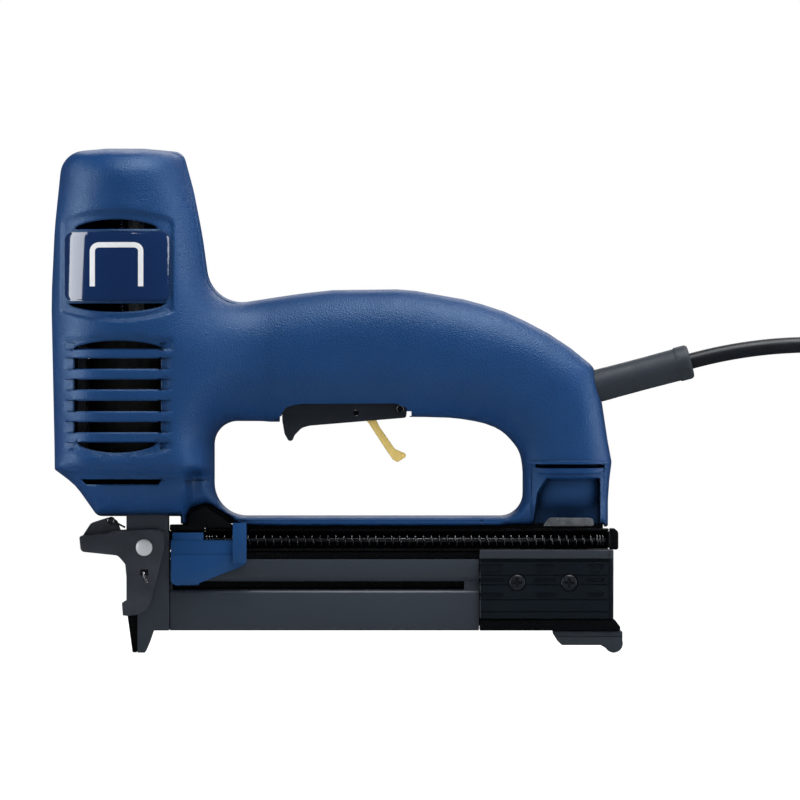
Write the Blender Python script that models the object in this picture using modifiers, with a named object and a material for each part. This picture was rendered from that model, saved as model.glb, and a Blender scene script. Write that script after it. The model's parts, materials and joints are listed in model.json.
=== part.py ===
"""Electric stapler, built as an assembly of separate pieces.

Sizes are in millimetres and are turned into metres as each piece is made. They are counted from the
staple exit on the work surface, on the mid-plane; set_origin then moves everything so that the
origin is the middle of the nose's foot, 2.35 mm behind it. +X runs back towards the cord, +Z is up
and -Y is the tool's left side, the one with the pusher in view.
"""

import math

import bmesh
import bpy
import numpy as np
from mathutils import Matrix, Vector
from mathutils.geometry import delaunay_2d_cdt

# ---- driving dimensions, mm ----
MM = 0.001
GAP = 0.3  # clearance between neighbouring pieces
WALL = 2.5  # housing wall
HEAD_HALF = 36.0  # half widths of the housing
HANDLE_HALF = 19.5
LEG_HALF = 17.0
BAR_HALF = 11.4
DRIVE_X = 0.6  # axis of the coil and driver blade
COIL_R = 22.3
STROKE = 36.0
PIVOT_X, PIVOT_Z = 3.1, 46.2  # nose rivet
MAG_HALF = 9.0
MAG_X0, MAG_X1 = 14.3, 150.0
MAG_Z0, MAG_Z1 = 9.7, 41.0
CHANNEL_X0, CHANNEL_X1 = 29.5, 207.0
CHANNEL_Z0, CHANNEL_Z1 = 44.6, 54.4
SPRING_Y, SPRING_Z, SPRING_R = -5.0, 49.5, 2.9
TRIGGER_PIVOT = (115.3, 107.0)
SAFETY_PIVOT = (96.0, 105.2)
CORD_ANGLE = math.radians(14.9)
CORD_R = 3.5
NOSE_FOOT_X = 2.35  # middle of the nose's foot, where the origin is put at the end

# housing outline seen from the side: x, z, corner radius
BODY_LINE = [
    (-36.5, 80.3, 1), (-38.1, 155, 150), (-36.6, 186.6, 100), (-33.2, 219.8, 11), (-5.3, 222.2, 90),
    (20, 219.9, 5.5), (24.6, 202.8, 40), (28.4, 183.5, 120), (32.8, 151.8, 16), (71.3, 157.7, 100),
    (99.9, 160.8, 150), (132.9, 158, 120), (161.5, 150.3, 90), (185.7, 137.5, 60), (200.6, 125.4, 8),
    (203.5, 114, 60), (206.6, 93.3, 60), (208.4, 83.6, 4), (207.4, 75.7, 10), (206.8, 66.9, 20),
    (206.8, 55.2, 1), (45, 55.2, 2), (37, 60.7, 4), (29.5, 64.5, 3), (23.8, 62.9, 1),
    (21.8, 59.8, 0.4), (21.8, 56.4, 0.4), (18.8, 56.4, 0.4), (18.8, 59.8, 0.4), (-17.8, 59.8, 4),
    (-27.3, 73.3, 25),
]
# hand opening, and the notch in its top edge that the trigger sits in
GRIP_LINE = [
    (33.8, 101.7, 10.5), (54.6, 101.6, 20), (62, 101, 60), (90, 103.6, 60), (126.3, 103.4, 20),
    (139.5, 103, 40), (152.7, 100.8, 40), (161, 97, 20), (168, 88.5, 14), (169.2, 80.5, 20),
    (169.2, 60.15, 18.5), (33.8, 60.15, 14.3),
]
NOTCH_LINE = [
    (63.1, 95), (63.1, 104.5, 0.8), (65.3, 107.7, 2.5), (71.2, 109.2, 8), (113.3, 109.4, 3), (118, 107.6, 1.5),
    (118.7, 105.3, 1), (118.4, 102.6, 1), (121, 95),
]
# tongue of the magazine bracket that reaches up between the housing halves, and its pocket
BRACKET_TONGUE = [(19.7, 55), (19.7, 57.2), (21.3, 57.2), (21.3, 60.2), (23.2, 64.4), (29.8, 65.9), (38, 61),
                  (46.6, 55.6), (44, 55.2), (30, 55)]
BRACKET_POCKET = [(19.3, 54), (19.3, 57.6), (20.9, 57.6), (20.9, 60.3), (22.9, 65.1), (29.9, 66.7), (38.4, 61.8),
                  (47.6, 56.2), (47.6, 54)]
# the same outline with the head's sides run on upwards, which gives the head its barrel section
SIDE_LINE = BODY_LINE[:3] + [(-31.2, 240), (14.7, 240)] + BODY_LINE[6:]
SCREW_SPOTS = [(-26, 203), (15.6, 207), (-31, 92), (37, 141), (58, 126), (157, 119), (186, 93)]

MATERIALS = {
    "blue_plastic": ((0.02, 0.06, 0.18), 0.45, 0),
    "badge_gloss": ((0.01, 0.03, 0.11), 0.12, 0),
    "black_plastic": ((0.02, 0.022, 0.028), 0.5, 0),
    "black_steel": ((0.025, 0.028, 0.033), 0.4, 0.6),
    "grey_steel": ((0.09, 0.095, 0.1), 0.45, 0.7),
    "bright_steel": ((0.7, 0.7, 0.7), 0.25, 1),
    "spring_steel": ((0.3, 0.3, 0.32), 0.3, 1),
    "rubber": ((0.03, 0.035, 0.042), 0.7, 0),
    "yellow_plastic": ((0.78, 0.58, 0.16), 0.45, 0),
    "coil_tape": ((0.03, 0.03, 0.03), 0.6, 0),
    "board_green": ((0.02, 0.12, 0.05), 0.5, 0),
    "copper_wire": ((0.25, 0.12, 0.04), 0.4, 0),
    "white_plastic": ((0.6, 0.6, 0.56), 0.5, 0),
}


# ---- helpers ----
def clear_scene():
    for ob in list(bpy.data.objects):
        bpy.data.objects.remove(ob)


def collection(name):
    col = bpy.data.collections.new(name)
    bpy.context.scene.collection.children.link(col)
    return col


def material(name):
    mat = bpy.data.materials.get(name)
    if mat is None:
        colour, rough, metal = MATERIALS[name]
        mat = bpy.data.materials.new(name)
        mat.use_nodes = True
        node = mat.node_tree.nodes["Principled BSDF"]
        node.inputs["Base Color"].default_value = (*colour, 1)
        node.inputs["Roughness"].default_value = rough
        node.inputs["Metallic"].default_value = metal
    return mat


def add(name, data, mat, smooth=35):
    ob = bpy.data.objects.new(name, data)
    ob.data.materials.append(material(mat).copy())
    ob.data.materials[0].name = name + "_mat"
    PART.objects.link(ob)
    if smooth and isinstance(data, bpy.types.Mesh):
        data.shade_smooth()
        data.set_sharp_from_angle(angle=math.radians(smooth))
    return ob


def mesh_from(bm, name):
    bmesh.ops.recalc_face_normals(bm, faces=bm.faces[:])
    data = bpy.data.meshes.new(name)
    bm.to_mesh(data)
    bm.free()
    return data


def cutter(name, bm):
    ob = bpy.data.objects.new(name, mesh_from(bm, name))
    ob.hide_render = True
    ob.display_type = "WIRE"
    CUTTERS.objects.link(ob)
    return ob


def boolean(ob, name, bm, operation="DIFFERENCE"):
    mod = ob.modifiers.new(name, "BOOLEAN")
    mod.operation = operation
    mod.solver = "EXACT"
    mod.object = cutter(ob.name + "_" + name, bm)


def rounded(line, step=20, longest=9.0):
    """A closed outline from corners (x, z, radius): arcs at the corners, long edges divided."""
    n, out = len(line), []
    pts = [Vector(p[:2]) for p in line]
    room = [0.5 * (pts[(i + 1) % n] - pts[i]).length for i in range(n)]
    for i, (p, corner) in enumerate(zip(pts, line)):
        a, b = (pts[i - 1] - p).normalized(), (pts[(i + 1) % n] - p).normalized()
        radius = corner[2] if len(corner) > 2 else 0
        turn = math.pi - a.angle(b)
        if radius < 1e-6 or turn < 1e-3:
            out.append(p)
            continue
        reach = min(radius * math.tan(turn / 2), 0.98 * room[i - 1], 0.98 * room[i])
        radius = reach / math.tan(turn / 2)
        centre = p + (a + b).normalized() * radius / math.cos(turn / 2)
        start, count = p + a * reach - centre, max(1, round(math.degrees(turn) / step))
        way = 1 if a.x * b.y - a.y * b.x < 0 else -1
        for k in range(count + 1):
            ang = way * turn * k / count
            out.append(centre + Vector((
                start.x * math.cos(ang) - start.y * math.sin(ang),
                start.x * math.sin(ang) + start.y * math.cos(ang))))
    full = []
    for i, p in enumerate(out):
        q = out[(i + 1) % len(out)]
        parts = max(1, math.ceil((q - p).length / longest))
        full += [p.lerp(q, k / parts) for k in range(parts)]
    return [(p.x, p.y) for p in full]


def prism_bm(outline, y0, y1, bm=None):
    """An outline in the XZ plane pushed from y0 to y1."""
    bm = bm or bmesh.new()
    face = bm.faces.new([bm.verts.new((x * MM, y0 * MM, z * MM)) for x, z in outline])
    side = bmesh.ops.extrude_face_region(bm, geom=[face])
    moved = [v for v in side["geom"] if isinstance(v, bmesh.types.BMVert)]
    bmesh.ops.translate(bm, verts=moved, vec=(0, (y1 - y0) * MM, 0))
    return bm


def profile_bm(outline, x0, x1):
    """A cross-section in the YZ plane pushed from x0 to x1."""
    bm = bmesh.new()
    face = bm.faces.new([bm.verts.new((x0 * MM, y * MM, z * MM)) for y, z in outline])
    side = bmesh.ops.extrude_face_region(bm, geom=[face])
    moved = [v for v in side["geom"] if isinstance(v, bmesh.types.BMVert)]
    bmesh.ops.translate(bm, verts=moved, vec=((x1 - x0) * MM, 0, 0))
    return bm


def box_bm(x0, x1, y0, y1, z0, z1, bm=None):
    return prism_bm([(x0, z0), (x1, z0), (x1, z1), (x0, z1)], y0, y1, bm)


def rod_bm(a, b, r, segments=16, bm=None):
    """A round bar of radius r from point a to point b."""
    bm = bm or bmesh.new()
    a, b = Vector(a) * MM, Vector(b) * MM
    turn = (b - a).to_track_quat("Z", "Y").to_matrix().to_4x4()
    bmesh.ops.create_cone(
        bm, cap_ends=True, segments=segments, radius1=r * MM, radius2=r * MM,
        depth=(b - a).length, matrix=Matrix.Translation((a + b) / 2) @ turn)
    return bm


def lathe_bm(profile, base, axis="Z", steps=24):
    """A closed profile (radius, height) turned about an axis through base."""
    bm = bmesh.new()
    verts = [bm.verts.new((r * MM, 0, h * MM)) for r, h in profile]
    pairs = [(i, (i + 1) % len(profile)) for i in range(len(profile))]
    edges = [bm.edges.new((verts[i], verts[j])) for i, j in pairs if profile[i][0] or profile[j][0]]
    bmesh.ops.spin(
        bm, geom=verts + edges, cent=(0, 0, 0), axis=(0, 0, 1), angle=2 * math.pi, steps=steps,
        use_merge=True)
    bmesh.ops.remove_doubles(bm, verts=bm.verts[:], dist=1e-6)
    turn = Vector({"X": (1, 0, 0), "Y": (0, 1, 0), "Z": (0, 0, 1)}[axis]).to_track_quat("Z", "Y")
    bmesh.ops.transform(
        bm, verts=bm.verts[:],
        matrix=Matrix.Translation(Vector(base) * MM) @ turn.to_matrix().to_4x4())
    return bm


def solid(name, bm, mat, bevel=0, segments=2, smooth=35):
    ob = add(name, mesh_from(bm, name), mat, smooth)
    if bevel:
        mod = ob.modifiers.new("edges", "BEVEL")
        mod.width, mod.segments, mod.limit_method = bevel * MM, segments, "ANGLE"
        mod.angle_limit = math.radians(40)
    return ob


def wire(name, points, r, mat, resolution=2):
    """A round wire through points."""
    data = bpy.data.curves.new(name, "CURVE")
    data.dimensions, data.fill_mode, data.use_fill_caps = "3D", "FULL", True
    data.bevel_depth, data.bevel_resolution = r * MM, resolution
    line = data.splines.new("POLY")
    line.points.add(len(points) - 1)
    for spot, p in zip(line.points, points):
        spot.co = (p[0] * MM, p[1] * MM, p[2] * MM, 1)
    return add(name, data, mat)


def coil_points(start, axis, radius, length, turns, per_turn, closed=1.0):
    """Points of a helical spring whose end coils lie close together."""
    axis = Vector(axis).normalized()
    u = axis.orthogonal().normalized()
    v = axis.cross(u)
    count, out = round(turns * per_turn), []
    tight = closed / turns
    for i in range(count + 1):
        t = i / count
        along = min(t, tight) * 0.35 + max(0, min(t, 1 - tight) - tight) + max(0, t - 1 + tight) * 0.35
        along /= 1 - 2 * tight * 0.65
        ang = 2 * math.pi * i / per_turn
        out.append(Vector(start) + axis * length * along
                   + (u * math.cos(ang) + v * math.sin(ang)) * radius)
    return out


def origin_at(ob, x, y, z):
    """Puts the piece's origin on its joint axis without moving its shape."""
    spot = Vector((x, y, z)) * MM
    ob.data.transform(Matrix.Translation(-spot))
    ob.location = spot


# ---- moulded housing ----
def smooth01(v):
    v = np.clip(v, 0, 1)
    return v * v * (3 - 2 * v)


def edge_distance(x, z, loops):
    """Distance to the nearest outline edge, negative outside the plastic."""
    best = np.full(x.shape, 1e9)
    inside = np.zeros(x.shape, bool)
    for loop in loops:
        for (ax, az), (bx, bz) in zip(loop, loop[1:] + loop[:1]):
            dx, dz = bx - ax, bz - az
            t = np.clip(((x - ax) * dx + (z - az) * dz) / (dx * dx + dz * dz + 1e-12), 0, 1)
            best = np.minimum(best, np.hypot(x - ax - t * dx, z - az - t * dz))
            if az != bz:
                cross = (az > z) != (bz > z)
                inside ^= cross & (x < ax + (z - az) * dx / dz)
    return np.where(inside, best, -best)


def half_width(x, z):
    """Widest half width of the moulding at each place, before its edges are rounded off."""
    head = HEAD_HALF - 2.5 * smooth01((z - 165) / 60)
    neck = smooth01((x - 14) / 44)
    rear = HANDLE_HALF + (LEG_HALF - HANDLE_HALF) * smooth01((x - 150) / 40)
    w = head + (rear - head) * neck
    chin = 31.5 - 2.5 * smooth01((76 - z) / 16)
    chin = chin + (17 - chin) * smooth01((x - 20) / 5)
    w = w + (np.minimum(w, chin) - w) * smooth01((82 - z) / 5)
    bar = smooth01((64.5 - z) / 3) * smooth01((x - 37) / 6) * smooth01((167 - x) / 8)
    return w + (BAR_HALF - w) * bar


def rounding(x, z):
    """How far in from the outline the side reaches its full width."""
    low = smooth01((96 - z) / 16) * smooth01((34 - x) / 8)
    barrel = smooth01((z - 110) / 35) * smooth01((44 - x) / 30)
    r = 24 + 11 * barrel - 6 * smooth01((x - 150) / 25) - 14.5 * low
    bar = smooth01((64.5 - z) / 3) * smooth01((x - 37) / 6) * smooth01((167 - x) / 8)
    return r + (2.3 - r) * bar


def blurred(a, sigma):
    k = np.arange(-3 * sigma, 3 * sigma + 1)
    g = np.exp(-0.5 * (k / sigma) ** 2)
    g /= g.sum()
    for axis in (0, 1):
        pad = [(0, 0), (0, 0)]
        pad[axis] = (3 * sigma, 3 * sigma)
        b = np.pad(a, pad, mode="edge")
        a = sum(w * np.take(b, range(i, i + a.shape[axis]), axis) for i, w in enumerate(g))
    return a


class Crown:
    """The crowned side of the housing as a height over the mid-plane."""

    def __init__(self, loops, inset=0.0, cell=1.0):
        self.x0, self.z0, self.cell, self.inset = -46.0, 46.0, cell, inset
        xs = np.arange(-46, 217, cell)
        zs = np.arange(46, 232, cell)
        x, z = np.meshgrid(xs, zs, indexing="ij")
        d = edge_distance(x, z, loops) - inset
        sides = edge_distance(x, z, [rounded(SIDE_LINE, 30, 12), loops[1]]) - inset
        high = smooth01((z - 192) / 14)
        u = (d + (sides - d) * high) / np.maximum(rounding(x, z) - inset, 1.5)
        q = np.where(u > 0, 1 - np.clip(1 - u, 0, 1) ** 2.2, 2.2 * np.maximum(u, -1.5))
        top = 1 - np.clip(1 - d / 9.0, 0, 1) ** 2.4
        q = q * (1 + (top - 1) * high)
        soft = blurred(q, round(3.5 / cell))
        keep = smooth01((d - 1.0) / 6)
        self.q = q * (1 - keep) + soft * keep

    def at(self, x, z):
        x, z = np.asarray(x, float), np.asarray(z, float)
        i, j = (x - self.x0) / self.cell, (z - self.z0) / self.cell
        i0 = np.clip(i.astype(int), 0, self.q.shape[0] - 2)
        j0 = np.clip(j.astype(int), 0, self.q.shape[1] - 2)
        s, t, q = i - i0, j - j0, self.q
        value = (q[i0, j0] * (1 - s) * (1 - t) + q[i0 + 1, j0] * s * (1 - t)
                 + q[i0, j0 + 1] * (1 - s) * t + q[i0 + 1, j0 + 1] * s * t)
        return (half_width(x, z) - self.inset) * np.clip(value, 0, 1) ** (1 / 2.2)


def arch(x0, x1, z0, rise, count=6):
    """A slot with one straight edge at z0 and one bowed edge."""
    top = [(x1 + (x0 - x1) * k / count, z0 + rise * math.sin(math.pi * k / count) ** 0.6)
           for k in range(1, count)]
    return [(x0, z0), (x1, z0)] + top


def housing_loops():
    return [rounded(BODY_LINE, 30, 12), rounded(GRIP_LINE, 30, 12)]


def slot_loops(side):
    """Air slots: two round the badge, six over the coil and one above the chin.

    The right half has five plain slots, set between the left half's, so that nothing thin can be
    pushed straight through.
    """
    rows = [(129.1, 124.5), (119.9, 115.5), (110.6, 106), (101.3, 96.8)]
    if side > 0:
        rows = [(133.1, 129.3), (124.2, 120.2), (115.2, 110.9), (105.7, 101.6), (96.5, 92.5)]
    loops = [[(-27, z0), (11, z0), (11, z1), (-27, z1)] for z1, z0 in rows]
    if side < 0:
        loops += [arch(-27.3, 9.7, 185.5, 4.3), arch(-29.9, 12.8, 153.1, -3.8), arch(-27, 11.2, 133.3, 3.5),
                  arch(-25.5, 9, 92.2, -4.3), [(-21.8, 74), (9.7, 74), (11.5, 76.3), (-24.3, 76.3)]]
    return loops


def badge_drop(x, z):
    """Shallow scoop round the badge and its two slots."""
    side = smooth01((x + 33.5) / 1.2) * smooth01((16.4 - x) / 1.2)
    bow = 4 * np.clip(1 - ((x + 8.6) / 24) ** 2, 0, 1)
    return 1.6 * side * smooth01((190.5 + bow - z) / 5) * smooth01((z - 149 + bow) / 3)


def rear_drop(x, z):
    """Stepped pocket low on the rear leg."""
    shelf = smooth01((x - 170.5) / 1) * smooth01((203.5 - x) / 1) * smooth01((82.3 - z) / 1)
    pocket = smooth01((x - 175 - 0.25 * (z - 55)) / 2) * smooth01((201.5 - x) / 1)
    return 2 * shelf + 6 * pocket * smooth01((77 - z) / 2)


def spread(loops, slots, pitch, rings, more=(), keep_off=()):
    """Points over the side: rings that follow the edges, then a triangular grid between them."""
    pts, joins = [], []
    for loop in loops:
        closed = loop[-1:] + loop + loop[:1]
        for ring, way in ((r, w) for r in rings for w in (1, -1)):
            row = []
            for (ax, az), (bx, bz), (cx, cz) in zip(closed, closed[1:], closed[2:]):
                size = math.hypot(az - cz, cx - ax) or 1
                row.append((bx + way * ring * (az - cz) / size, bz + way * ring * (cx - ax) / size))
            a = np.array(row)
            good = edge_distance(a[:, 0], a[:, 1], loops) > 0.93 * ring
            off = slots + list(keep_off)
            good &= edge_distance(a[:, 0], a[:, 1], off) < -0.8
            spot = {}
            for i in np.flatnonzero(good):
                spot[i] = len(pts)
                pts.append(row[i])
            steps = np.linspace(0.1, 0.9, 7)[:, None]
            for i in spot:
                if i + 1 in spot:
                    b = a[i] + (a[i + 1] - a[i]) * steps
                    if (edge_distance(b[:, 0], b[:, 1], off) < -0.6).all():
                        joins.append((spot[i], spot[i + 1]))
    fill = [(-44 + pitch * (i + 0.5 * (j % 2)), 50 + 0.866 * pitch * j)
            for j in range(int(180 / (0.866 * pitch))) for i in range(int(256 / pitch))]
    if more:
        fill = [p for p in fill if min(math.dist(p, q) for q in more) > 0.4 * pitch] + list(more)
    a = np.array(fill)
    good = edge_distance(a[:, 0], a[:, 1], loops) > max(rings) + 0.3 * pitch
    if slots:
        good &= edge_distance(a[:, 0], a[:, 1], slots) < -0.8
    return pts + [p for p, g in zip(fill, good) if g], joins


def layer(loops, slots, extra, joins=()):
    """A flat triangulation between the loops, less the slots."""
    verts, edges, owner = [], [], []
    for k, loop in enumerate(loops + slots):
        base = len(verts)
        verts += [Vector(p) for p in loop]
        edges += [(base + i, base + (i + 1) % len(loop)) for i in range(len(loop))]
        owner += [(k, i) for i in range(len(loop))]
    edges += [(len(verts) + i, len(verts) + j) for i, j in joins]
    verts += [Vector(p) for p in extra]
    out, _, faces, source, _, _ = delaunay_2d_cdt(verts, edges, [], 0, 1e-5)
    place = {}
    for i, s in enumerate(source):
        for k in s:
            if k < len(owner):
                place[i] = owner[k]
    mid = np.array([sum((out[i] for i in f), Vector((0, 0))) / len(f) for f in faces])
    ok = edge_distance(mid[:, 0], mid[:, 1], loops) > 1e-3
    for slot in slots:
        ok &= edge_distance(mid[:, 0], mid[:, 1], [slot]) < 0
    return out, [f for f, good in zip(faces, ok) if good], place


def housing_half(name, side):
    """One half shell: crowned skin, inner skin, flat mating rim and slot walls."""
    loops = housing_loops()
    slots = slot_loops(side)
    skin, inner = Crown(loops), Crown(loops, WALL)
    bm, walls = bmesh.new(), {}
    for which in (0, 1):
        pitch, rings = (11, (0.8, 3.5, 9)) if which == 0 else (16, (3, 9))
        more = badge_loop() + badge_loop(1) + badge_grid() if which == 0 else []
        keep_off = [badge_loop(1.2)] if which == 0 else []
        out, faces, place = layer(loops, slots, *spread(loops, slots, pitch, rings, more, keep_off))
        x, z = np.array([p.x for p in out]), np.array([p.y for p in out])
        drop = badge_drop(x, z) + rear_drop(x, z)
        height = np.maximum((skin, inner)[which].at(x, z) - drop, (0.4, 0)[which])
        made = {}
        for i in {i for f in faces for i in f}:
            rim = i in place and place[i][0] < len(loops)
            y = side * (GAP / 2 + ((0, 0.4)[which == 0] if rim else height[i]))
            made[i] = bm.verts.new((x[i] * MM, y * MM, z[i] * MM))
            if i in place:
                walls[(place[i], which)] = made[i]
        for f in faces:
            bm.faces.new([made[i] for i in f])
    for k, loop in enumerate(loops + slots):
        for i in range(len(loop)):
            j = (i + 1) % len(loop)
            bm.faces.new([walls[((k, i), 0)], walls[((k, j), 0)], walls[((k, j), 1)], walls[((k, i), 1)]])
    return solid(name, bm, "blue_plastic", smooth=50)


def housing_cuts(ob, side, skin, inner):
    """Screw bosses and holes, and the openings for nose, trigger and cord."""
    bosses, holes, seats = bmesh.new(), bmesh.new(), bmesh.new()
    for x, z in SCREW_SPOTS:
        far = side > 0
        turn, reach = np.linspace(0, 2 * math.pi, 12), 4.6 if far else 3.4
        deep = float(inner.at(x + reach * np.cos(turn), z + reach * np.sin(turn)).min())
        deep = max(deep, float(inner.at(x, z)) - 2.4)
        top = float(skin.at(x, z))
        rod_bm((x, side * GAP / 2, z), (x, side * (deep + 0.8), z), 4.6 if far else 3.4, 14, bosses)
        rod_bm((x, -side, z), (x, side * (top - (2 if far else 5)), z), 1.7, 10, holes)
        rod_bm((x, top - 4, z), (x, 45, z), 3.9, 14, seats)
    boolean(ob, "bosses", bosses, "UNION")
    boolean(ob, "holes", holes)
    if side > 0:
        boolean(ob, "head_seats", seats)
    boolean(ob, "nose_bay", box_bm(-5.2, 14, -12.4, 12.4, 50, 70))
    boolean(ob, "trigger_notch", prism_bm(rounded(NOTCH_LINE, 30, 99), -40, 40))
    boolean(ob, "trigger_bay", box_bm(62.4, 119.5, -9.6, 9.6, 95, 122))
    boolean(ob, "flange_bay", box_bm(60.4, 120.3, -9.7, 9.7, 103.9, 121.8))
    boolean(ob, "bracket_pocket", prism_bm(BRACKET_POCKET, -5.5, 5.5))
    boolean(ob, "channel_pocket", box_bm(46.5, 205, -5.4, 5.4, 54, 56.6))
    boolean(ob, "leg_pocket", box_bm(166, 204.8, -4.4, 4.4, 55, 61.4))
    a, b = cord_at(-14), cord_at(8)
    boolean(ob, "cord_hole", rod_bm(a, b, 7.6, 20))
    boolean(ob, "cord_groove", rod_bm(cord_at(-9.5), cord_at(-4), 9.2, 20))


def build_housing():
    loops = housing_loops()
    skin, inner = Crown(loops), Crown(loops, WALL)
    for name, side in (("housing_left", -1), ("housing_right", 1)):
        housing_cuts(housing_half(name, side), side, skin, inner)
    for i, (x, z) in enumerate(SCREW_SPOTS):
        seat = float(skin.at(x, z)) - 4
        tip = -min(9, float(skin.at(x, z)) - 6)
        profile = [(0, 2.4), (2.6, 2.1), (3.5, 0.9), (3.5, 0.1), (1.4, 0.1), (1.4, tip - seat), (0, tip - seat)]
        ob = solid(f"housing_screw_{i + 1}", lathe_bm(profile, (x, seat, z), "Y", 14), "spring_steel")
        boolean(ob, "drive", cross_bm((x, seat + 2.6, z), 1.3))
    for name, side in (("badge_left", -1), ("badge_right", 1)):
        build_badge(name, side, skin)


def badge_loop(grow=0.0):
    x0, x1, z0, z1 = -31.4 - grow, 14.6 + grow, 154.2 - grow, 184.2 + grow
    return rounded([(x0, z0, 3), (x1, z0, 3), (x1, z1, 3), (x0, z1, 3)], 30, 6)


def badge_grid():
    return [(-31.4 + 46 * i / 8, 154.2 + 30 * j / 4) for i in range(1, 8) for j in range(1, 4)]


def build_badge(name, side, skin):
    """A thin glossy plate that follows the crowned side."""
    loop = badge_loop()
    out, faces, place = layer([loop], [], badge_grid())
    bm, rows = bmesh.new(), []
    for lift in (0.7, -0.5):
        rows.append([bm.verts.new((p.x * MM, side * (float(skin.at(p.x, p.y)) - 0.6 + lift) * MM, p.y * MM))
                     for p in out])
    for f in faces:
        bm.faces.new([rows[0][i] for i in f])
        bm.faces.new([rows[1][i] for i in reversed(f)])
    spots = {spot[1]: i for i, spot in place.items()}
    for i in range(len(loop)):
        a, b = spots[i], spots[(i + 1) % len(loop)]
        bm.faces.new([rows[0][a], rows[0][b], rows[1][b], rows[1][a]])
    solid(name, bm, "badge_gloss")


def cross_bm(top, depth, a=1.7, b=0.4):
    """A cross recess for a screwdriver, sunk along Y from top."""
    x, y, z = top
    line = [(a, -b), (a, b), (b, b), (b, a), (-b, a), (-b, b), (-a, b), (-a, -b), (-b, -b), (-b, -a), (b, -a), (b, -b)]
    return prism_bm([(x + p, z + q) for p, q in line], y, y - math.copysign(depth, y))


# ---- cord ----
def cord_at(s):
    """A point s mm out from the housing's rear face along the cord entry."""
    return (203 + s * math.cos(CORD_ANGLE), 0, 117.3 + s * math.sin(CORD_ANGLE))


def lathe_along_cord(name, profile, mat, steps=20):
    bm = lathe_bm(profile, (0, 0, 0), "Z", steps)
    x, y, z = cord_at(0)
    turn = Matrix.Rotation(math.pi / 2 - CORD_ANGLE, 4, "Y")
    bmesh.ops.transform(bm, verts=bm.verts[:], matrix=Matrix.Translation((x * MM, y, z * MM)) @ turn)
    return solid(name, bm, mat)


def cord_points():
    pts = [cord_at(-21), cord_at(0), cord_at(43)]
    x, z, ang = pts[-1][0], pts[-1][2], CORD_ANGLE
    for length, bend, count in ((48, -0.235, 8), (56, -1.596, 10), (53.2, 0, 1), (49, 1.57, 10), (11, 0, 1)):
        for _ in range(count):
            ang += bend / count
            x += length / count * math.cos(ang - bend / count / 2)
            z += length / count * math.sin(ang - bend / count / 2)
            pts.append((x, 0, z))
    return pts


def build_cord():
    path = cord_points()
    wire("power_cord", path, CORD_R, "rubber")
    sleeve = [(3.8, -9), (8.8, -9), (8.8, -4.5), (7.2, -4.2), (7.2, 2), (7.3, 34), (7.6, 36), (7.6, 40.5),
              (6.8, 41.6), (3.8, 41.6)]
    lathe_along_cord("cord_strain_relief", sleeve, "rubber")
    x, _, z = path[-1]
    plan = [(0, -4), (6, -6), (14, -15), (37, -17.6), (40, -14), (40, 14), (37, 17.6), (14, 15), (6, 6), (0, 4)]
    bm = bmesh.new()
    face = bm.faces.new([bm.verts.new(((x + 0.4 + a) * MM, b * MM, (z - 6.85) * MM)) for a, b in plan])
    side = bmesh.ops.extrude_face_region(bm, geom=[face])
    up = [v for v in side["geom"] if isinstance(v, bmesh.types.BMVert)]
    bmesh.ops.translate(bm, verts=up, vec=(0, 0, 13.7 * MM))
    solid("cord_plug", bm, "rubber", 1.6, 2)
    for i, y in enumerate((-9.3, 9.3)):
        pin = [(0, 0), (2, 0), (2, 17.5), (1, 19), (0, 19)]
        solid(f"plug_pin_{i + 1}", lathe_bm(pin, (x + 40.7, y, z), "X", 32), "bright_steel")
    cx, _, cz = cord_at(-15.5)
    clamp = [(cx - 4, cz - 6.5), (cx + 4, cz - 4.4), (cx + 4, cz - 9), (cx - 4, cz - 11)]
    solid("cord_clamp", prism_bm(clamp, -9, 9), "black_plastic")
    for i, y in enumerate((-1.6, 1.6)):
        ends = [(cord_at(-21.8)[0], y, cord_at(-21.8)[2]), (174, 2 * y, 118), (166, 3 * y, 127.5), (151, 4 * y, 127.5)]
        wire(f"core_wire_{i + 1}", ends, 0.9, "copper_wire", 1)


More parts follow.
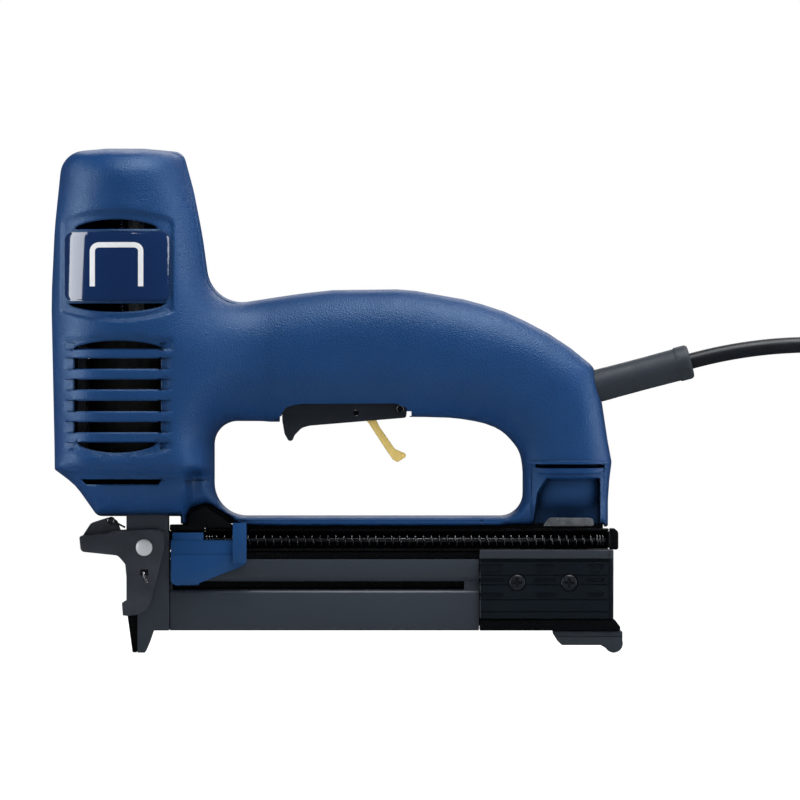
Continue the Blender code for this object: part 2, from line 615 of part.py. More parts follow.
# ---- trigger group ----
def build_trigger():
    line = [(63.6, 101.8, 1), (63.5, 104.3, 1), (65.4, 107, 2), (71, 108.7, 6), (79.2, 109, 0), (113.1, 109, 2),
            (117.6, 107.4, 1.5), (118.3, 105.2, 1), (117.9, 103.1, 1), (75.6, 99.6, 6), (72, 98.6, 4),
            (68.8, 95.3, 3), (67.9, 92.9, 1), (66.3, 93, 1), (64.6, 96, 2)]
    ob = solid("trigger", prism_bm(rounded(line, 30, 99), -9, 9), "black_plastic", 0.8, 1)
    flange = [(61.1, 104.4), (117.6, 104.4), (119.2, 107.5), (119.2, 111.4), (61.1, 111.4)]
    boolean(ob, "flanges", prism_bm(flange, 7.8, 9.2, prism_bm(flange, -9.2, -7.8)), "UNION")
    bay = [(91.5, 94), (119.5, 94), (119.5, 104.2), (109.5, 104.6), (108, 107.4), (91.5, 107.4)]
    boolean(ob, "lever_bay", prism_bm(bay, -3, 3))
    x, z = SAFETY_PIVOT
    boolean(ob, "pin_hole", rod_bm((x, -20, z), (x, 20, z), 1.55, 12))
    x, z = TRIGGER_PIVOT
    boolean(ob, "pivot_hole", rod_bm((x, -20, z), (x, 20, z), 1.55, 12))
    origin_at(ob, x, 0, z)
    solid("trigger_pin", rod_bm((x, -12.4, z), (x, 12.4, z), 1.45, 12), "bright_steel")
    x, z = SAFETY_PIVOT
    solid("safety_pin", rod_bm((x, -9.3, z), (x, 9.3, z), 1.25, 12), "bright_steel")
    line = [(93.6, 105.2, 2), (94, 107, 1.5), (97, 107.2, 1.5), (104.6, 102.6, 2), (106.4, 99, 2), (110.6, 92.9, 3),
            (113, 89.4, 2), (115.8, 88.2, 1), (117.9, 87.3, 0.8), (117.8, 85.8, 0.8), (114.2, 83.5, 0.8),
            (112.2, 84.6, 1), (109.6, 88.3, 2), (101, 101.4, 3), (97.4, 103, 1), (94.4, 102.8, 1)]
    ob = solid("safety_lever", prism_bm(rounded(line, 30, 99), -2.5, 2.5), "yellow_plastic", 0.4, 1)
    boolean(ob, "pin_hole", rod_bm((x, -20, z), (x, 20, z), 1.5, 12))
    origin_at(ob, x, 0, z)
    solid("trigger_spring_seat", prism_bm([(68, 118), (78, 118), (78, 120), (68, 120)], -5, 5), "black_plastic")
    wire("trigger_spring", coil_points((73, 0, 109.8), (0, 0, 1), 2.6, 7.4, 5, 8), 0.35, "spring_steel", 1)
    ob = solid("trigger_switch", box_bm(79, 98, -7.5, 7.5, 118.3, 138), "black_plastic", 0.6, 1)
    boolean(ob, "button_bore", rod_bm((84, 0, 110), (84, 0, 128), 2.4, 12))
    button = [(0, 0), (1.1, 0), (1.2, 0.3), (1.2, 6.5), (2.1, 6.7), (2.1, 13.2), (0, 13.2)]
    solid("switch_button", lathe_bm(button, (84, 0, 109.3), "Z", 12), "white_plastic")


# ---- solenoid ----
def build_solenoid():
    x = DRIVE_X
    frame = box_bm(x - 26.6, x + 26.6, -15, 15, 79.5, 146.5)
    ob = solid("solenoid_yoke", frame, "grey_steel")
    boolean(ob, "window", box_bm(x - 23, x + 23, -20, 20, 83.5, 142.5))
    boolean(ob, "bore", rod_bm((x, 0, 70), (x, 0, 150), 10, 24))
    spool = [(9.7, 84), (COIL_R, 84), (COIL_R, 86), (12, 86), (12, 140), (COIL_R, 140), (COIL_R, 142), (9.7, 142)]
    solid("coil_bobbin", lathe_bm(spool, (x, 0, 0), "Z", 28), "black_plastic")
    wind = [(12.3, 86.3), (COIL_R - 0.3, 86.3), (COIL_R - 0.3, 139.7), (12.3, 139.7)]
    solid("coil_winding", lathe_bm(wind, (x, 0, 0), "Z", 28), "coil_tape")
    pole = [(3.6, 76), (13, 76), (13, 79.2), (9.3, 79.2), (9.3, 85.4), (3.6, 85.4)]
    solid("pole_piece", lathe_bm(pole, (x, 0, 0), "Z", 24), "grey_steel")
    pad = [(4.2, 66.2), (11, 66.2), (11, 75.7), (4.2, 75.7)]
    solid("lower_bumper", lathe_bm(pad, (x, 0, 0), "Z", 20), "rubber")
    solid("upper_bumper", lathe_bm([(0, 202), (9.5, 202), (9.5, 210), (0, 210)], (x, 0, 0), "Z", 20), "rubber")
    plunger = [(0, 122), (9.3, 122), (9.3, 197.3), (12, 197.3), (12, 201.4), (0, 201.4)]
    ob = solid("armature", lathe_bm(plunger, (x, 0, 0), "Z", 24), "bright_steel")
    boolean(ob, "blade_slot", box_bm(x - 0.8, x + 0.8, -3.2, 3.2, 118, 134.4))
    boolean(ob, "pin_hole", rod_bm((x - 20, 0, 129), (x + 20, 0, 129), 1.3, 10))
    ob = solid("driver_blade", box_bm(x - 0.45, x + 0.45, -2.8, 2.8, 37.6, 134), "bright_steel")
    boolean(ob, "pin_hole", rod_bm((x - 20, 0, 129), (x + 20, 0, 129), 1.3, 10))
    solid("blade_pin", rod_bm((x - 9, 0, 129), (x + 9, 0, 129), 1, 10), "bright_steel")
    wire("return_spring", coil_points((x, 0, 147.8), (0, 0, 1), 11, 48.4, 8, 8), 0.8, "spring_steel", 1)


def build_board():
    solid("control_board", box_bm(104, 150, -11, 11, 122, 123.6), "board_green")
    solid("board_triac", box_bm(138, 148, -5, 5, 124, 138), "black_plastic", 0.5, 1)
    solid("board_capacitor", rod_bm((112, 0, 129), (130, 0, 129), 5, 16), "white_plastic")


# ---- nose ----
def build_nose():
    line = [(1.4, 0), (3.3, 0), (5.2, 4.4), (7, 9.7), (14, 9.7), (14, 52), (13.6, 53.8), (13.6, 65.7), (-4.8, 65.7),
            (-4.8, 53.8), (1.4, 53.8)]
    ob = solid("nose_frame", prism_bm(line, -10, 10), "black_steel")
    boolean(ob, "head_block", box_bm(-4.7, 13.5, -12, 12, 53.9, 65.6), "UNION")
    cheek = [(0.1, 0), (1.6, 0), (1.6, 37), (0.1, 37)]
    boolean(ob, "cheeks", prism_bm(cheek, 7, 9.9, prism_bm(cheek, -9.9, -7)), "UNION")
    boolean(ob, "rear_tab", box_bm(13, 16, 7.5, 9.9, 44.8, 53.2), "UNION")
    boolean(ob, "blade_way", box_bm(-0.4, 1.8, -3.3, 3.3, 40, 70))
    boolean(ob, "staple_way", box_bm(0, 20, -3.8, 3.8, 11.2, 41.6))
    boolean(ob, "pivot_hole", rod_bm((PIVOT_X, -20, PIVOT_Z), (PIVOT_X, 20, PIVOT_Z), 2.15, 16))
    line = [(-4.4, 16), (-2.2, 0), (-0.3, 0), (-0.3, 44.5), (-3.3, 44.5), (-3.6, 22), (-4.4, 20)]
    ob = solid("nose_door", prism_bm(line, -11.6, 11.6), "black_steel")
    boolean(ob, "narrow", box_bm(-6, -0.1, -14, -6.4, -2, 38, box_bm(-6, -0.1, 6.4, 14, -2, 38)))
    ear = rounded([(-3.2, 40), (-0.5, 40, 0), (7, 42.5, 2), (7, 50.3, 3.8), (-0.8, 50.3, 3.8), (-3.2, 46, 2)], 30)
    ears = prism_bm(ear, 10.3, 11.6, prism_bm(ear, -11.6, -10.3))
    boolean(ob, "ears", ears, "UNION")
    boolean(ob, "pivot_hole", rod_bm((PIVOT_X, -20, PIVOT_Z), (PIVOT_X, 20, PIVOT_Z), 2.15, 16))
    origin_at(ob, PIVOT_X, 0, PIVOT_Z)
    build_latch()
    head = [(0, -16.3), (2, -16.1), (3.3, -15.3), (3.6, -14.7), (1.8, -14.7), (1.8, 14.7), (3.6, 14.7), (3.3, 15.3),
            (2, 16.1), (0, 16.3)]
    solid("latch_pin", lathe_bm(head, (PIVOT_X, 0, PIVOT_Z), "Y", 20), "bright_steel")
    bracket = [(14.2, 53.6), (29.2, 53.6), (29.2, 54.7), (46, 54.7), (40.5, 56.4), (36.5, 59.4), (29.6, 63.8),
               (24.4, 62.2), (22.3, 59.4), (22.3, 56.1), (14.2, 56.1)]
    ob = solid("magazine_bracket", prism_bm(bracket, -9.5, 9.5), "black_steel", 0.3, 1)
    boolean(ob, "tongue", prism_bm(BRACKET_TONGUE, -5, 5), "UNION")
    wall = [(14.4, 45.9), (33, 45.9), (33, 53.1), (29.2, 53.1), (29.2, 53.9), (14.4, 53.9)]
    boolean(ob, "back_wall", prism_bm(wall, 2, 7), "UNION")
    boolean(ob, "rib_way", box_bm(29.35, 60, -5.4, 5.4, 54, 56.6))


def build_latch():
    """Pressed lever: two cheeks joined by a thumb plate at the front."""
    line = [(-25.4, 51.2, 1), (-12.8, 52.4, 2), (-10, 53.6, 2), (7, 54.2, 0), (11.7, 53.8, 4), (12, 47, 8),
            (9.5, 36, 8), (6.2, 23, 3), (4.4, 18.9, 2), (0.4, 16.7, 1), (-4.2, 16.2, 0.5), (-6.3, 16.4, 0.3),
            (-6.7, 22, 0.5), (-4.7, 23, 0.5), (-4.7, 33.5, 1), (-5.2, 39, 2), (-8.5, 42.7, 3), (-24.7, 44.4, 2)]
    cheeks = rounded(line, 30, 99)
    ob = solid("nose_latch", prism_bm(cheeks, -14.3, 14.3), "grey_steel", 0.4, 1)
    hollow = [(-23.4, 30), (-23.4, 49.4), (-12.6, 50.6), (-9.6, 51.8), (-6.5, 51.9), (-6.5, 60), (30, 60), (30, 0),
              (-12, 0)]
    boolean(ob, "hollow", prism_bm(hollow, -12.8, 12.8))
    hump = rounded([(-24.6, 50.4, 0), (-20.4, 56.9, 3), (-13.2, 59.2, 2), (-9.4, 58, 2), (-7.4, 52.5, 1), (-12, 51, 0)], 30, 99)
    boolean(ob, "hump", prism_bm(hump, -9.5, 9.5), "UNION")
    boolean(ob, "windows", box_bm(1.3, 4.9, -20, 20, 33.9, 36.6))
    boolean(ob, "pivot_hole", rod_bm((PIVOT_X, -20, PIVOT_Z), (PIVOT_X, 20, PIVOT_Z), 2.15, 16))
    origin_at(ob, PIVOT_X, 0, PIVOT_Z)
    hook = [(4.4, -15.1, 30.6), (3.2, -15.0, 34.3), (3, -14.4, 35.2), (3, -12.3, 35.3), (6.5, -12.25, 38.5)]
    wire("latch_wire", hook, 0.45, "spring_steel", 1)
    loop = [(-5.3, -11.2, 55), (-9.5, -11.2, 57.2)]
    loop += [(-11.4 + 1.3 * math.cos(a), -11.2 + 0.13 * k, 58 + 1.3 * math.sin(a))
             for k, a in enumerate(np.linspace(-0.6, 5.4, 9))]
    wire("latch_spring", loop, 0.4, "spring_steel", 1)


# ---- magazine ----
def build_magazine():
    h, t = MAG_HALF, 1.2
    outer = [(-h, 10.5), (-h + 0.8, MAG_Z0), (h - 0.8, MAG_Z0), (h, 10.5), (h, 26.5), (h - 2, 27.4), (h - 2, 31.4),
             (h, 32.3), (h, MAG_Z1)]
    inner = [(h - t, MAG_Z1), (h - t, 33), (h - t - 2, 32), (h - t - 2, 26.8), (h - t, 26), (h - t, 11), (-h + t, 11),
             (-h + t, 26), (-h + t + 2, 26.8), (-h + t + 2, 32), (-h + t, 33), (-h + t, MAG_Z1)]
    left = [(-h, MAG_Z1), (-h, 32.3), (-h + 2, 31.4), (-h + 2, 27.4), (-h, 26.5)]
    ob = solid("magazine_body", profile_bm(outer + inner + left, MAG_X0, MAG_X1), "black_steel", smooth=20)
    boolean(ob, "pusher_slot", box_bm(15.5, 143.5, -12, -3.5, 28, 31.2))
    rail = [(-2.2, 11.6), (2.2, 11.6), (2.2, 41.3), (7.6, 41.3), (7.6, 44.2), (-7.6, 44.2), (-7.6, 41.3), (-2.2, 41.3)]
    ob = solid("magazine_rail", profile_bm(rail, 1.8, 203), "black_steel", smooth=20)
    boolean(ob, "front_step", box_bm(0, 14.4, -9, 9, 40.6, 46))
    boolean(ob, "keel_way", box_bm(29.6, 205, 2.9, 5.1, 43, 46))
    c0, c1, t = CHANNEL_Z0, CHANNEL_Z1, 1
    channel = [(-8.5, c0), (8.5, c0), (8.5, c1), (-8.5, c1), (-8.5, c1 - t), (7.5, c1 - t), (7.5, c0 + t), (-8.5, c0 + t)]
    ob = solid("spring_channel", profile_bm(channel, CHANNEL_X0, CHANNEL_X1), "black_steel", smooth=20)
    boolean(ob, "top_rib", box_bm(29.8, 204.5, -5, 5, 54, 56.2), "UNION")
    boolean(ob, "leg_rib", box_bm(166.4, 204.4, -4, 4, 55, 61), "UNION")
    boolean(ob, "keel", box_bm(30, 203, 3.2, 4.8, 43.3, 45), "UNION")
    solid("spring_rod", rod_bm((14.6, SPRING_Y, SPRING_Z), (206.1, SPRING_Y, SPRING_Z), 1.2, 10), "bright_steel")
    coils = coil_points((30, SPRING_Y, SPRING_Z), (1, 0, 0), SPRING_R, 175.2, 54, 6, 3)
    wire("pusher_spring", coils, 0.4, "spring_steel", 0)
    cap = [(207.3, 45.2), (211.2, 45.2), (211.2, 53), (209.4, 54.6), (207.3, 54.6)]
    ob = solid("spring_end_cap", prism_bm(cap, -8.4, -1.6), "black_steel", 0.5, 1)
    boolean(ob, "tongue", box_bm(206.5, 208.5, -7.9, 7.1, c0 + 1.3, c1 - 1.3), "UNION")
    build_pusher()


def build_pusher():
    band = [(14.8, 49.3), (48, 49.3), (48, 40.3), (46.6, 38.2), (25.7, 29.9), (16.7, 29.5), (14.8, 31)]
    ob = solid("pusher", prism_bm(band, -12.4, -9.4), "blue_plastic")
    boolean(ob, "block", box_bm(15.4, 29, -11, -1.9, 46.1, 52.7), "UNION")
    boolean(ob, "rib", box_bm(42, 48, -16, -12, 39.3, 57), "UNION")
    boolean(ob, "foot", box_bm(17.5, 27, -10, -2.6, 29.6, 30.9), "UNION")
    boolean(ob, "rod_bore", rod_bm((0, SPRING_Y, SPRING_Z), (60, SPRING_Y, SPRING_Z), 1.7, 12))


def build_rear():
    h = 12
    block = [(-h, 14.9), (h, 14.9), (h, 45.2), (8.9, 45.2), (8.9, 41), (-8.9, 41), (-8.9, 45.2), (-h, 45.2)]
    ob = solid("rear_block", profile_bm(block, 150.3, 209), "black_plastic", smooth=20)
    boolean(ob, "rail_way", box_bm(149, 203.5, -2.6, 2.6, 11, 41.2))
    for i, x in enumerate((166.7, 189.5)):
        boolean(ob, f"screw_hole_{i}", rod_bm((x, -20, 30.8), (x, -4.6, 30.8), 1.7, 12))
        boolean(ob, f"screw_seat_{i}", rod_bm((x, -20, 30.8), (x, -10.4, 30.8), 3.9, 16))
        head = [(0, -1.9), (2.4, -1.7), (3.6, -0.8), (3.6, 0), (1.4, 0), (1.4, 5.2), (0, 5.2)]
        screw = solid(f"rear_block_screw_{i + 1}", lathe_bm(head, (x, -10.7, 30.8), "Y", 18), "black_steel")
        boolean(screw, "drive", cross_bm((x, -12.9, 30.8), 1.5))
    plate = [(150.3, 9.7, 0), (212, 9.7, 0.5), (212, 11.4, 0.5), (209.6, 14.5, 0.4), (150.3, 14.5, 0)]
    ob = solid("base_plate", prism_bm(rounded(plate, 30, 99), -11, 11), "black_steel")
    boolean(ob, "rail_way", box_bm(149, 203.5, -2.6, 2.6, 11.3, 16))
    boolean(ob, "foot_pocket", box_bm(185.6, 209.4, 3, 8, 9, 11.4))
    foot = [(182.4, 9.4, 0), (182.6, 8, 0), (184.5, 5, 0), (186.4, 3.3, 1.5), (203.4, 3.3, 0)]
    heel = [(209.1 + 4.05 * math.cos(a), 4.05 + 4.05 * math.sin(a)) for a in np.linspace(-2.6, 0.3, 8)]
    line = rounded(foot, 40, 99) + heel + [(213, 9.4)]
    ob = solid("rear_foot", prism_bm(line, -10, 10), "rubber")
    boolean(ob, "rib", box_bm(186, 209, 3.3, 7.7, 9, 11), "UNION")
    plate = rounded([(178, 55.6, 0), (200.6, 55.6, 1), (199.8, 59.2, 1.5), (180.5, 59.4, 2.5)], 30, 99)
    solid("rear_bracket", prism_bm(plate, -13.6, -11), "grey_steel")


def set_origin():
    for ob in [*PART.objects, *CUTTERS.objects]:
        ob.location.x -= NOSE_FOOT_X * MM


clear_scene()
PART = collection("electric_stapler")
CUTTERS = collection("cutters")
build_housing()
build_cord()
build_trigger()
build_solenoid()
build_board()
build_nose()
build_magazine()
build_rear()
set_origin()
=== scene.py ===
"""Electric stapler: fine surfaces, materials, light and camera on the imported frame.

Shapes are worked out in millimetres in the part's design frame, whose origin is the staple exit;
each finished piece is moved into the row frame, whose origin is the middle of the nose's foot.
"""
import json
import math

import bmesh
import bpy
import numpy as np
from mathutils import Matrix, Vector
from mathutils.geometry import delaunay_2d_cdt


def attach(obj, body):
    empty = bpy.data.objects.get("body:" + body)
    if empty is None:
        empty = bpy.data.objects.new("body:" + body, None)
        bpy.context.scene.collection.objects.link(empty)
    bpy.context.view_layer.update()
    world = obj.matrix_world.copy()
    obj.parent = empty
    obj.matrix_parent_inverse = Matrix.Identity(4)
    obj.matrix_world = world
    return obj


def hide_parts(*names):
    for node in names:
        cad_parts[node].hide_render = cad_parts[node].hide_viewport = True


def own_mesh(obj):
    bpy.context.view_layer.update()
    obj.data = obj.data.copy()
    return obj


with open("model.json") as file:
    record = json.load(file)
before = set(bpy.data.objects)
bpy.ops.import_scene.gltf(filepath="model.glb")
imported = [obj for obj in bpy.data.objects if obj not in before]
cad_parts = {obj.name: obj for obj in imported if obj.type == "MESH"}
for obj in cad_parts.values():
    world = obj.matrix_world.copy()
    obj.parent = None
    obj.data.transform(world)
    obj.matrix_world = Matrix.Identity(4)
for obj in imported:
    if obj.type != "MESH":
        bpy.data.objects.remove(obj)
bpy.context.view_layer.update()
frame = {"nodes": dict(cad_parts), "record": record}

MM = 0.001
SHIFT = -2.35  # row frame x of the staple exit, mm
RECORD = frame["record"]
BODY_OF = {n: b for b, ns in RECORD["behaviour"]["bodies"].items() for n in ns}
SLOT_OF = {s["node"]: s["material_slot"] for s in RECORD["subparts"]}

HEAD_HALF, HANDLE_HALF, LEG_HALF, BAR_HALF = 36.0, 19.5, 17.0, 11.4
GAP, WALL = 0.3, 2.5
DRIVE_X = 0.6
PIVOT_X, PIVOT_Z = 3.1, 46.2
MAG_HALF, MAG_X0, MAG_X1, MAG_Z0, MAG_Z1 = 9.0, 14.3, 150.0, 9.7, 41.0
CHANNEL = (29.5, 207.0, 44.6, 54.4)
SPRING_Y, SPRING_Z, SPRING_R = -5.0, 49.5, 2.9
TRIGGER_PIVOT, SAFETY_PIVOT = (115.3, 107.0), (96.0, 105.2)
CORD_ANGLE, CORD_R = math.radians(14.9), 3.5

BODY_LINE = [
    (-36.5, 80.3, 1), (-38.1, 155, 150), (-36.6, 186.6, 100), (-33.2, 219.8, 11), (-5.3, 222.2, 90),
    (20, 219.9, 5.5), (24.6, 202.8, 40), (28.4, 183.5, 120), (32.8, 151.8, 16), (71.3, 157.7, 100),
    (99.9, 160.8, 150), (132.9, 158, 120), (161.5, 150.3, 90), (185.7, 137.5, 60), (200.6, 125.4, 8),
    (203.5, 114, 60), (206.6, 93.3, 60), (208.4, 83.6, 4), (207.4, 75.7, 10), (206.8, 66.9, 20),
    (206.8, 55.2, 1), (45, 55.2, 2), (37, 60.7, 4), (29.5, 64.5, 3), (23.8, 62.9, 1),
    (21.8, 59.8, 0.4), (21.8, 56.4, 0.4), (18.8, 56.4, 0.4), (18.8, 59.8, 0.4), (-17.8, 59.8, 4),
    (-27.3, 73.3, 25),
]
GRIP_LINE = [
    (33.8, 101.7, 10.5), (54.6, 101.6, 20), (62, 101, 60), (90, 103.6, 60), (126.3, 103.4, 20),
    (139.5, 103, 40), (152.7, 100.8, 40), (161, 97, 20), (168, 88.5, 14), (169.2, 80.5, 20),
    (169.2, 60.15, 18.5), (33.8, 60.15, 14.3),
]
NOTCH_LINE = [
    (63.1, 95), (63.1, 104.5, 0.8), (65.3, 107.7, 2.5), (71.2, 109.2, 8), (113.3, 109.4, 3), (118, 107.6, 1.5),
    (118.7, 105.3, 1), (118.4, 102.6, 1), (121, 95),
]
BRACKET_TONGUE = [(19.7, 55), (19.7, 57.2), (21.3, 57.2), (21.3, 60.2), (23.2, 64.4), (29.8, 65.9), (38, 61),
                  (46.6, 55.6), (44, 55.2), (30, 55)]
BRACKET_POCKET = [(19.3, 54), (19.3, 57.6), (20.9, 57.6), (20.9, 60.3), (22.9, 65.1), (29.9, 66.7), (38.4, 61.8),
                  (47.6, 56.2), (47.6, 54)]
# the same outline with the head's sides run on upwards, which gives the head its barrel section
SIDE_LINE = BODY_LINE[:3] + [(-31.2, 240), (14.7, 240)] + BODY_LINE[6:]
SCREW_SPOTS = [(-26, 203), (15.6, 207), (-31, 92), (37, 141), (58, 126), (157, 119), (186, 93)]


# ---------------------------------------------------------------- materials
class Nodes:
    """Small helper that wires a material's node tree."""

    def __init__(self, name):
        self.mat = bpy.data.materials.new(name)
        self.mat.use_nodes = True
        self.tree = self.mat.node_tree
        self.main = self.tree.nodes["Principled BSDF"]
        self.coord = self.tree.nodes.new("ShaderNodeTexCoord").outputs["Object"]

    def new(self, kind, **values):
        node = self.tree.nodes.new("ShaderNode" + kind)
        for key, value in values.items():
            if hasattr(node, key):
                setattr(node, key, value)
            else:
                node.inputs[key.replace("_", " ")].default_value = value
        return node

    def link(self, a, b):
        self.tree.links.new(a, b)

    def noise(self, scale, detail=3, stretch=None, rough=0.55):
        n = self.new("TexNoise", Scale=scale, Detail=detail, Roughness=rough)
        where = self.coord
        if stretch:
            m = self.new("Mapping")
            m.inputs["Scale"].default_value = stretch
            self.link(where, m.inputs["Vector"])
            where = m.outputs["Vector"]
        self.link(where, n.inputs["Vector"])
        return n.outputs["Fac"]

    def remap(self, value, a, b, c, d):
        m = self.new("MapRange")
        for key, v in zip(("From Min", "From Max", "To Min", "To Max"), (a, b, c, d)):
            m.inputs[key].default_value = v
        self.link(value, m.inputs["Value"])
        return m.outputs["Result"]

    def mix(self, factor, a, b):
        m = self.new("Mix", data_type="RGBA")
        for value, name in ((a, 6), (b, 7)):
            if isinstance(value, tuple):
                m.inputs[name].default_value = (*value, 1)
            else:
                self.link(value, m.inputs[name])
        self.link(factor, m.inputs[0])
        return m.outputs[2]

    def bump(self, height, strength, distance, before=None):
        b = self.new("Bump", Strength=strength, Distance=distance)
        self.link(height, b.inputs["Height"])
        if before is not None:
            self.link(before, b.inputs["Normal"])
        return b.outputs["Normal"]


def surface(name, base, rough, metal=0.0, vary=0.12, patch=45, grain=None, brushed=None, spread=0.08,
            coat=0.0, dust=0.0, spec=0.5, cells=None, sheen=None,
            ledge=None, painted_shade=None):
    """A procedural finish: uneven tone, uneven roughness, grain or brushing; optionally a painted highlight above a
    given height and painted shade in recesses.
    """
    n = Nodes(name)
    tone = n.noise(patch, 4)
    dark = tuple(c * (1 - vary) for c in base)
    light = tuple(min(1, c * (1 + vary)) for c in base)
    colour = n.mix(n.remap(tone, 0.3, 0.7, 0, 1), dark, light)
    if dust:
        colour = n.mix(n.remap(n.noise(900, 2), 0.62, 0.8, 0, dust), colour, (0.5, 0.5, 0.48))
    # painted highlight: faces above the given height take a lighter colour, standing in for the light on the rear
    # block's top band
    if ledge:
        part = n.new("SeparateXYZ")
        n.link(n.coord, part.inputs[0])
        colour = n.mix(n.remap(part.outputs["Z"], ledge[0] - 0.0002, ledge[0] + 0.0002, 0, 1), colour, ledge[1])
    # painted shade: an ambient-occlusion mask blends the base colour towards a darker copy of it in recesses, creases
    # and between parts
    if painted_shade:
        near = n.new("AmbientOcclusion", Distance=painted_shade[0])
        near.samples = 6
        colour = n.mix(n.remap(near.outputs["AO"], painted_shade[1], 0.95, 1, 0), colour, tuple(c * painted_shade[2] for c in base))
    n.link(colour, n.main.inputs["Base Color"])
    r = n.noise(patch * 3.1, 3)
    n.link(n.remap(r, 0.3, 0.7, max(0.03, rough - spread), min(1, rough + spread)), n.main.inputs["Roughness"])
    n.main.inputs["Metallic"].default_value = metal
    n.main.inputs["Specular IOR Level"].default_value = spec
    if sheen:
        n.main.inputs["Specular Tint"].default_value = (*sheen, 1)
    if coat:
        n.main.inputs["Coat Weight"].default_value = coat
        n.main.inputs["Coat Roughness"].default_value = 0.05
    normal = None
    if cells:
        v = n.new("TexVoronoi", Scale=cells[0], feature="SMOOTH_F1")
        n.link(n.coord, v.inputs["Vector"])
        normal = n.bump(v.outputs["Distance"], cells[1], cells[2])
    if grain:
        normal = n.bump(n.noise(grain[0], 3), grain[1], grain[2], normal)
    if brushed:
        normal = n.bump(n.noise(brushed[0], 3, brushed[3]), brushed[1], brushed[2], normal)
    if normal is not None:
        n.link(normal, n.main.inputs["Normal"])
    return n.mat


BLUE = (0.0065, 0.045, 0.158)
MAT = {
    # the blue housing plastic carries painted shade that darkens its recesses
    "blue_plastic": surface("blue_leather_grain_plastic", BLUE, 0.42, vary=0.07, patch=30,
                            cells=(1750, 0.8, 0.00024), grain=(2600, 0.4, 0.0001), spread=0.05,
                            spec=0.6, sheen=(0.55, 0.78, 1), painted_shade=(0.02, 0.40, 0.06)),
    "pusher_blue": surface("pusher_blue_plastic", (0.010, 0.055, 0.175), 0.36, vary=0.06, patch=60,
                           grain=(700, 0.25, 0.00008), sheen=(0.6, 0.8, 1)),
    "badge_gloss": surface("badge_gloss_enamel", (0.0065, 0.024, 0.088), 0.09, vary=0.05, patch=25, coat=1.0,
                           spread=0.02, grain=(90, 0.03, 0.00008)),
    "badge_mark": surface("badge_mark_print", (0.78, 0.79, 0.8), 0.35, vary=0.03, patch=60, grain=(800, 0.1, 0.00004)),
    "black_plastic": surface("black_moulded_plastic", (0.014, 0.019, 0.028), 0.42, vary=0.12, patch=60,
                             cells=(1300, 0.4, 0.00015), grain=(900, 0.2, 0.00006), spread=0.06),
    # the rear block's top band above z 41.4 mm gets a painted highlight as a lighter colour
    "rear_plastic": surface("rear_block_plastic", (0.0045, 0.009, 0.0145), 0.34, vary=0.1, patch=60,
                            grain=(900, 0.2, 0.00006), spread=0.05, spec=0.5, ledge=(0.0414, (0.030, 0.036, 0.047))),
    "black_steel": surface("black_coated_steel", (0.036, 0.045, 0.060), 0.38, metal=0.1, vary=0.04, patch=14,
                           grain=(700, 0.12, 0.00005), brushed=(160, 0.10, 0.00005, (0.06, 1, 1)), spread=0.03,
                           dust=0.03),
    "gloss_steel": surface("gloss_black_steel", (0.0025, 0.003, 0.004), 0.26, metal=0.0, vary=0.1, patch=30,
                           grain=(300, 0.1, 0.00005), brushed=(200, 0.1, 0.00004, (0.05, 1, 1)), spread=0.04),
    "grey_steel": surface("dark_phosphate_steel", (0.038, 0.044, 0.056), 0.38, metal=0.1, vary=0.22, patch=90,
                          grain=(750, 0.25, 0.00008), spread=0.05, dust=0.04),
    "worn_steel": surface("worn_bracket_steel", (0.10, 0.108, 0.12), 0.55, metal=0.3, vary=0.4, patch=330,
                          grain=(600, 0.6, 0.0003), spread=0.12, dust=0.5),
    "bright_steel": surface("bright_plated_steel", (0.72, 0.73, 0.74), 0.24, metal=1, vary=0.08, patch=180,
                            brushed=(420, 0.25, 0.00006, (1, 1, 0.12)), spread=0.08),
    "screw_steel": surface("blackened_screw_steel", (0.016, 0.020, 0.026), 0.3, metal=0.2, vary=0.1, patch=90,
                           grain=(900, 0.15, 0.00005), spread=0.05),
    "rivet_steel": surface("satin_rivet_steel", (0.62, 0.64, 0.66), 0.5, metal=0.25, vary=0.05, patch=300,
                           grain=(700, 0.2, 0.00005), spread=0.05),
    "spring_steel": surface("oiled_spring_steel", (0.28, 0.28, 0.29), 0.28, metal=1, vary=0.3, patch=230,
                            brushed=(300, 0.2, 0.00004, (1, 1, 1)), spread=0.1),
    "spring_dark": surface("blackened_spring_wire", (0.22, 0.22, 0.23), 0.22, metal=1, vary=0.4, patch=260,
                           grain=(1500, 0.15, 0.00003), spread=0.06),
    "rubber": surface("moulded_rubber", (0.025, 0.034, 0.046), 0.55, vary=0.1, patch=50,
                      grain=(650, 0.3, 0.0001), spread=0.08, dust=0.08),
    "cord_pvc": surface("cord_jacket", (0.009, 0.012, 0.018), 0.38, vary=0.12, patch=60,
                        grain=(420, 0.18, 0.0001), spread=0.06),
    "yellow_plastic": surface("yellow_lever_plastic", (0.90, 0.66, 0.20), 0.42, vary=0.04, patch=120,
                              grain=(600, 0.08, 0.00003), spread=0.04),
    "coil_tape": surface("coil_wrap_tape", (0.016, 0.0165, 0.017), 0.62, vary=0.35, patch=70,
                         grain=(450, 0.5, 0.0003), brushed=(420, 0.5, 0.0003, (0.2, 0.2, 1)), spread=0.12),
    "board_green": surface("coated_circuit_board", (0.018, 0.11, 0.05), 0.4, vary=0.25, patch=300,
                           grain=(400, 0.3, 0.0001), coat=0.3),
    "copper_wire": surface("insulated_wire", (0.2, 0.07, 0.04), 0.4, vary=0.2, patch=100, grain=(500, 0.2, 0.0001)),
    "white_plastic": surface("off_white_plastic", (0.58, 0.58, 0.54), 0.45, vary=0.06, patch=60,
                             grain=(600, 0.2, 0.0001)),
}
